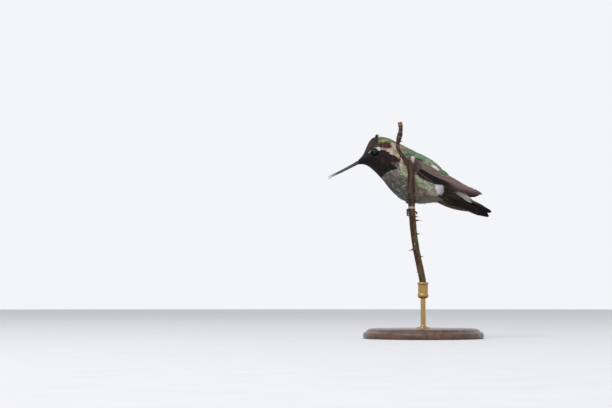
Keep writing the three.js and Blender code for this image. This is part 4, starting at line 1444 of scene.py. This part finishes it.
for side in (LEFT, RIGHT):
    make_wing(side)
    make_tail(side)
make_band(LEFT)
make_long_coverts()
make_end_coverts()


# ---- Bill ----

BILL_UP = np.array([BILL_WAY[2], 0.0, -BILL_WAY[0]])
BILL_SUNK = 2.0  # how far the bill's base is drawn back into the face
BILL_SEAM = -0.5  # height over the bill's axis of the seam between its halves
BILL_CLOSING = 0.12  # how far each half moves to shut the seam
BILL_TIP_CLOSING = 0.32  # and how far its tip moves
NOSTRIL_PLACE = 2.6  # from the bill's base
NOSTRIL_DEPTH = 0.16


def horn_look():
    dark, pale = (0.3, (22, 21, 24)), (0.75, (44, 42, 46))
    grain = (0.5, 4.0, (6.0, 1.0, 3.0))
    surface = {"Specular IOR Level": 0.35}
    look, tree, shader, _ = grained_look("bill_horn", dark, pale, grain, surface, (0.02, 0.5))
    feed(tree, shader, {"Roughness": ranged(tree, noise(tree, 0.8), 0.26, 0.42)})
    return look


def make_bill():
    look = horn_look()
    for name, inward in (("upper_bill", -1), ("lower_bill", 1)):
        verts, quads = remeshed(*node_mesh(name), 0.09, 6)
        along = (verts - BILL_BASE) @ BILL_WAY
        verts = verts - BILL_WAY * ((1 - smooth(along, 0.0, 1.2)) * BILL_SUNK)[:, None]
        height = (verts - BILL_BASE) @ BILL_UP
        seam = smooth(0.35 - np.abs(height - BILL_SEAM), 0.0, 0.3) * (1 - smooth(along, 13.0, 16.0))
        closing = inward * (BILL_CLOSING * seam + BILL_TIP_CLOSING * smooth(along, 12, 20))
        verts = verts + BILL_UP * closing[:, None]
        if name == "upper_bill":
            verts = verts + nostril(verts)
        make_piece(name + "_horn", verts, quads, look, "bill_horn", [name])


def nostril(verts):
    """A slit on each side, near the base."""
    offset = verts - (BILL_BASE + BILL_WAY * NOSTRIL_PLACE)
    along, height = offset @ BILL_WAY, offset @ BILL_UP
    slit = np.exp(-((along / 1.3) ** 2) - ((height + 0.05) / 0.13) ** 2)
    return -ACROSS * (np.sign(verts[:, 1]) * slit * NOSTRIL_DEPTH)[:, None]


make_bill()


# ---- Eyes and lids ----

BALL_SHARE = 0.985  # the eyeball's radius as a share of the solid's
BALL_RINGS = 34
AROUND_EYE = 64
LID_INNER = 1.3
LID_OUTER = 1.8
LID_NARROW = 0.84  # the opening's height as a share of its length
LID_TILT = math.radians(28)  # the opening slopes down towards the bill
LID_RINGS = 9
LID_THICK = 0.7
LID_HIGHEST = 1.4  # the most that the skin may lift the lid over the eye's middle


def eye_look():
    look, tree, shader = new_look("eye")
    reach = add(tree, "SeparateXYZ", {0: attribute(tree, "vane")["Vector"]}).outputs[0]
    # The pupil, the iris and the rim from the eye's middle outwards, as linear colours. The iris's faint
    # blue is a painted reflection on the dark eye.
    stops = [
        (0.0, (0.003, 0.004, 0.008)), (0.46, (0.003, 0.004, 0.008)), (0.5, (0.008, 0.010, 0.022)),
        (0.8, (0.008, 0.011, 0.026)), (0.92, (0.003, 0.004, 0.008)),
    ]  # fmt: skip
    colour = shade(tree, ramp(tree, reach, stops), noise(tree, 0.25), 0.8, 1.3)
    feed(tree, shader, {"Base Color": colour, "Roughness": 0.06, "Specular IOR Level": 0.3})
    return look


def make_eye(side, ball_look, lid_look):
    centre, look = eye_axis(side)
    first = unit(np.cross(look, (0.0, 0.0, 1.0)))
    second = np.cross(first, look)
    turns = np.linspace(0, 2 * math.pi, AROUND_EYE, endpoint=False)
    round_way = np.cos(turns)[:, None] * first + np.sin(turns)[:, None] * second
    angles = np.linspace(0.01, math.pi - 0.01, BALL_RINGS)
    ball = EYE_RADIUS * BALL_SHARE
    rings = [centre + look * ball * math.cos(a) + round_way * ball * math.sin(a) for a in angles]
    verts = np.concatenate(rings)
    quads = oriented(verts, tube_quads(1, BALL_RINGS, AROUND_EYE))
    vane = np.repeat(np.sin(angles), AROUND_EYE)[:, None] * np.ones(3)
    name = SIDE_NAMES[side]
    make_piece(f"eyeball_{name}", verts, quads, ball_look, "eye", [f"eye_{name}"], vane=vane)
    make_lid(side, centre, look, round_way, turns, lid_look)


def make_lid(side, centre, look, round_way, turns, lid_look):
    """A soft rim that rises from the skin round the eyeball and ends on it."""
    slope = turns + side * LID_TILT
    almond = np.hypot(np.cos(slope), np.sin(slope) * LID_NARROW) + 0.08 * np.abs(np.cos(slope)) ** 4
    inner = LID_INNER * almond
    outer = LID_OUTER * mix(1.0, almond, 0.4)
    rings = []
    for t in np.linspace(0, 1, LID_RINGS):
        reach = mix(inner, outer, t)
        flat = centre + round_way * reach[:, None]
        skin = []
        for place in flat + look * 3.5:
            hit = SKIN_TREE.ray_cast(place, -look)[0]
            skin.append((np.array(hit) - centre) @ look if hit else 0.6)
        on_ball = np.sqrt(np.maximum(EYE_RADIUS**2 - reach**2, 0.0))
        settled = np.minimum(np.array(skin), LID_HIGHEST)
        height = mix(on_ball + 0.12, np.maximum(settled + 0.16, 0.2), smooth(t, 0.15, 1.0))
        height = height + 0.1 * math.sin(math.pi * min(t * 2.2, 1.0))
        rings.append(flat + look * height[:, None])
    under = [ring - look * LID_THICK for ring in reversed(rings)]
    section = np.stack(rings + under, axis=1)
    count, around = section.shape[:2]
    verts = section.reshape(-1, 3)
    i = np.arange(count)[:, None] * around
    j = np.arange(around)[None, :]
    following, turn = (i + around) % (count * around), (j + 1) % around
    quads = np.stack([i + j, i + turn, following + turn, following + j], -1).reshape(-1, 4)
    quads = oriented(verts, quads)
    make_piece(f"lid_{SIDE_NAMES[side]}", verts, quads, lid_look, "crown_feathers")


def make_eyes():
    dark, pale = (0.3, (12, 10, 11)), (0.75, (30, 27, 27))
    surface = {"Roughness": 0.7, "Specular IOR Level": 0.15}
    lid_look = grained_look("lid", dark, pale, (0.22, 4.0), surface, (0.04, 0.8))[0]
    ball_look = eye_look()
    for side in (LEFT, RIGHT):
        make_eye(side, ball_look, lid_look)


make_eyes()


# ---- Feet ----

TOE_ROUND = 2.5  # how far the toes lie from the cane's middle
TOE_ENDS, LEG_BEGINS = 3.3, 4.2  # from the cane's middle
SCALE_DEPTH = 0.035
PAD_DEPTH = 0.06


def foot_look(name, dark, pale, roughness):
    surface = {"Roughness": roughness, "Specular IOR Level": 0.5}
    return grained_look(name, (0.25, dark), (0.8, pale), (0.3, 4.0), surface, (0.03, 0.7))[0]


def cane_centre(heights):
    """The middle of the cane, as x and y, at each height."""
    verts, tris = node_mesh("perch_cane")
    levels = np.linspace(verts[:, 2].min() + 0.5, 100.0, 60)
    middles = np.array([np.median(cuts(verts, tris, 2, level), axis=0) for level in levels])
    return [np.interp(heights, levels, middles[:, k]) for k in (0, 1)]


def make_feet():
    skin_look = foot_look("foot_skin", (30, 30, 35), (66, 66, 74), 0.5)
    claw_look = foot_look("claw_horn", (16, 15, 17), (52, 48, 48), 0.3)
    for name in SIDE_NAMES.values():
        verts, quads = remeshed(*node_mesh(f"leg_{name}"), 0.11, 5, 0.02)
        normals = vertex_normals(verts, quads)
        x, y = cane_centre(verts[:, 2])
        turn = np.arctan2(verts[:, 1] - y, verts[:, 0] - x)
        reach = np.hypot(verts[:, 1] - y, verts[:, 0] - x)
        around = turn * TOE_ROUND * 2 * math.pi
        toe = np.cos(around / 0.62) * SCALE_DEPTH + np.cos(around / 1.9) * PAD_DEPTH
        shank = np.cos(verts[:, 2] * 2 * math.pi / 0.75) * SCALE_DEPTH
        on_toe = 1 - smooth(reach, TOE_ENDS, LEG_BEGINS)
        verts = verts + normals * mix(shank, toe, on_toe)[:, None]
        make_piece(f"foot_{name}", verts, quads, skin_look, "foot_skin", [f"leg_{name}"])
        claws = [f"claw_{name}_{k}" for k in (1, 2, 3, 4)]
        verts, quads = remeshed(*node_mesh(*claws), 0.08, 4, 0.02)
        make_piece(f"claws_{name}", verts, quads, claw_look, "claw_horn", claws)


make_feet()


# ---- Cane ----

CANE_RED = (62, 35, 29)
CANE_GREEN = (62, 66, 28)
CANE_DARK = (40, 25, 21)
# painted highlight down the cane's front
CANE_HIGHLIGHT = (104, 84, 62)
CANE_TWIG = (50, 38, 33)
CANE_KNOT = (138, 120, 110)
CANE_SCAR = (196, 176, 160)
THORN_RED = (104, 44, 34)
THORN_TIP = (232, 176, 142)
CUT_PALE = (206, 186, 174)
BUD_BROWN = (150, 100, 66)
# Flecks of the bark: the noise's size, detail and stretch, the stops of their mask, their colour.
BARK_FLECKS = [
    ((0.55, 3.0, (1.0, 1.0, 14.0)), [(0.6, BLACK), (0.68, WHITE)], (134, 84, 54)),
    ((0.7, 3.0, (1.0, 1.0, 8.0)), [(0.3, WHITE), (0.4, BLACK)], (22, 15, 13)),
    ((0.45, 2.0, (1.0, 1.0, 2.2)), [(0.68, BLACK), (0.74, WHITE)], (128, 110, 92)),
]
# Knots on the twig: height, swelling, and the turn of their fuller side.
KNOTS = [(113.6, 0.16, 2.6), (118.6, 0.2, 0.4), (121.6, 0.3, 0.2), (124.2, 0.34, 0.1), (125.8, 0.15, 3.0)]


def cane_look():
    look, tree, shader = new_look("cane_bark")
    streaks = noise(tree, 0.8, 5.0, (1.0, 1.0, 9.0))
    colour = shade(tree, attribute(tree, "tint")["Color"], streaks, 0.45, 1.5)
    for grain, stops, paint in BARK_FLECKS:
        mask = ramp(tree, noise(tree, *grain), stops)
        colour = tinted(tree, mask, colour, tuple(linear(paint)))
    rough = ranged(tree, streaks, 0.45, 0.75)
    feed(tree, shader, {"Base Color": colour, "Roughness": rough, "Specular IOR Level": 0.25})
    bump(tree, shader, streaks, 0.12, 0.8)
    return look


def solid_depth(verts, quads, normals):
    """How thick a shape is under each of its vertices."""
    tree = BVHTree.FromPolygons(verts.tolist(), quads.tolist())
    depth = np.empty(len(verts))
    for n, (vert, normal) in enumerate(zip(verts, normals)):
        hit = tree.ray_cast(Vector(vert - normal * 0.03), Vector(-normal))
        depth[n] = hit[3] if hit[0] else 0.3
    return depth


def make_cane():
    """The cane with its ridges, knots and colours. Its thorns are found where it is thin."""
    verts, quads = remeshed(*node_mesh("perch_cane"), 0.2, 6)
    normals = vertex_normals(verts, quads)
    depth = solid_depth(verts, quads, normals)
    x, y = cane_centre(verts[:, 2])
    turn = np.arctan2(verts[:, 1] - y, verts[:, 0] - x)
    z = verts[:, 2]
    twig = smooth(z, 108.6, 110.0)
    stub = spot(verts[:, 0], z, (-6.0, 107.2), (2.3, 2.6)) * (z > 104.6)
    thorn = (1 - smooth(depth, 0.9, 1.7)) * (1 - twig) * (1 - stub)
    thorn_tip = (1 - smooth(depth, 0.3, 0.75)) * (1 - twig) * (1 - stub)

    ridges = np.sin(turn * 5 + z * 0.11) + 0.6 * np.sin(turn * 9 - z * 0.07 + 1.0)
    wander = np.sin(z * 0.5 + 2 * np.sin(turn)) * 0.6
    swell = (ridges * 0.05 + wander * 0.05) * (1 - thorn)
    for height, size, way in KNOTS:
        ring = np.exp(-(((z - height) / 0.55) ** 2))
        swell = swell + size * ring * (0.5 + 0.5 * np.cos(turn - way)) * twig
    swell = swell + stub * (0.42 + 0.12 * np.sin(turn * 6 + z * 3))
    verts = verts + normals * swell[:, None]

    green = smooth(np.cos(turn - math.radians(-40)), 0.1, 0.8) * (1 - smooth(z, 74, 84))
    # painted highlight: a lighter stripe down the side of the cane that faces the camera
    face = smooth(np.cos(turn - math.radians(-80)), 0.75, 1.0) * (1 - twig)
    knot = sum(np.exp(-(((z - height - 0.4) / 0.35) ** 2)) for height, _, _ in KNOTS) * twig
    pale = spot(verts[:, 0], z, (-5.5, 106.2), (2.3, 3.2), 10) * (1 - twig)
    scar = np.exp(-(((z - 77.4) / 0.6) ** 4))
    colour = linear(CANE_RED)
    for paint, amount in (
        (CANE_GREEN, green),
        (CANE_DARK, smooth(z, 79, 86) * 0.8),
        (CANE_HIGHLIGHT, face * 0.45),
        (CANE_TWIG, smooth(z, 100, 106)),
        (CANE_KNOT, np.clip(knot, 0, 1) * 0.5),
        (BUD_BROWN, smooth(z, 125.4, 126.6)),
        (CUT_PALE, np.maximum(stub, pale)),
        (CANE_SCAR, scar * 0.9),
        (THORN_RED, thorn),
        (THORN_TIP, thorn_tip),
    ):
        colour = mix(colour, linear(paint), amount[:, None])
    make_piece("cane", verts, quads, cane_look(), "cane_bark", ["perch_cane"], tint=colour)


make_cane()


# ---- Display stand ----

WOOD = [(0.3, (52, 34, 25)), (0.5, (84, 56, 40)), (0.72, (112, 78, 56))]
HUB = 0.02  # radius of the small flats in the middle of a turned shape's ends
COLLAR_RADIUS = 4.2  # of the brass collar where the rod enters the base
ROD_HIDDEN = 0.6  # how far the rod reaches up into the cup
CUP_WALL = 0.85


def wood_look():
    look, tree, shader = new_look("stand_wood")
    place = add(tree, "TexCoord").outputs["Object"]
    mapped = add(tree, "Mapping", {"Vector": place, "Scale": (260.0, 30.0, 260.0)}).outputs[0]
    inputs = {"Vector": mapped, "Scale": 1.0, "Detail": 6.0, "Distortion": 0.6}
    rings = add(tree, "TexNoise", inputs).outputs[0]
    grain = ramp(tree, rings, [(at, tuple(linear(colour))) for at, colour in WOOD])
    surface = {"Roughness": 0.42, "Coat Weight": 0.3, "Coat Roughness": 0.25}
    feed(tree, shader, {"Base Color": shade(tree, grain, noise(tree, 30), 0.85, 1.1), **surface})
    bump(tree, shader, rings, 0.06, 0.4)
    return look


def brass_look():
    dark, pale = (0.3, (150, 120, 74)), (0.75, (196, 164, 108))
    grain = (0.4, 4.0, (1.0, 1.0, 0.15))
    made = grained_look("stand_metal", dark, pale, grain, {"Metallic": 1.0}, (0.01, 0.4))
    look, tree, shader, scratches = made
    feed(tree, shader, {"Roughness": ranged(tree, scratches, 0.26, 0.4)})
    return look


def rounded(corners, radius, steps=5):
    """A profile whose inner corners are rounded."""
    made = [corners[0]]
    for before, corner, after in zip(corners, corners[1:], corners[2:]):
        b, c, a = (np.array(p, float) for p in (before, corner, after))
        reach = min(radius, 0.45 * np.linalg.norm(b - c), 0.45 * np.linalg.norm(a - c))
        start, end = c + unit(b - c) * reach, c + unit(a - c) * reach
        for t in np.linspace(0, 1, steps):
            made.append(tuple(mix(mix(start, c, t), mix(c, end, t), t)))
    return made + [corners[-1]]


def make_turned(name, look, slot, node, corners, radius, count):
    """A closed turned shape round the stand's axis, from (radius, height) corners that are rounded,
    from the bottom middle to the top middle."""
    profile = rounded(corners, radius)
    turns = np.linspace(0, 2 * math.pi, count, endpoint=False)
    ring = np.column_stack([np.cos(turns), np.sin(turns), np.ones(count)])
    verts = np.concatenate([ring * (r, r, z) for r, z in profile])
    quads = oriented(verts, tube_quads(1, len(profile), count))
    make_piece(name, verts, quads, look, slot, [node])


def radius_and_ends(node):
    low, high = (np.array(corner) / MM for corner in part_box(node))
    return (high[0] - low[0]) / 2, low[2], high[2]


def make_stand():
    radius, _, top = radius_and_ends("stand_base")
    corners = [
        (HUB, 0.0), (radius - 1.0, 0.0), (radius - 0.2, 0.6), (radius, 2.2), (radius - 0.5, 3.6),
        (radius - 1.8, 4.0), (radius - 2.4, 4.9), (radius - 3.6, top - 0.3), (radius - 5.0, top),
        (HUB, top),
    ]  # fmt: skip
    make_turned("base_turned", wood_look(), "stand_wood", "stand_base", corners, 0.7, 160)

    brass = brass_look()
    rod, _, rod_top = radius_and_ends("stand_rod")
    rod_top = rod_top + ROD_HIDDEN
    corners = [
        (HUB, top - 1.0), (COLLAR_RADIUS, top - 1.0), (COLLAR_RADIUS, top + 0.5), (3.6, top + 0.9),
        (2.1, top + 1.1), (rod, top + 1.9), (rod, rod_top), (HUB, rod_top),
    ]  # fmt: skip
    make_turned("rod_turned", brass, "stand_metal", "stand_rod", corners, 0.3, 64)

    outer, bottom, rim = radius_and_ends("stand_cup")
    inner, waist = outer - CUP_WALL, outer - 0.35
    corners = [
        (HUB, bottom), (outer - 0.9, bottom), (outer, bottom + 0.9), (outer, bottom + 2.2),
        (waist, bottom + 2.6), (waist, rim - 1.6), (outer, rim - 1.2), (outer, rim - 0.4),
        (outer - 0.3, rim), (inner + 0.1, rim), (inner, rim - 0.3), (inner, bottom + 2.0),
        (HUB, bottom + 2.0),
    ]  # fmt: skip
    make_turned("cup_turned", brass, "stand_metal", "stand_cup", corners, 0.25, 64)


make_stand()
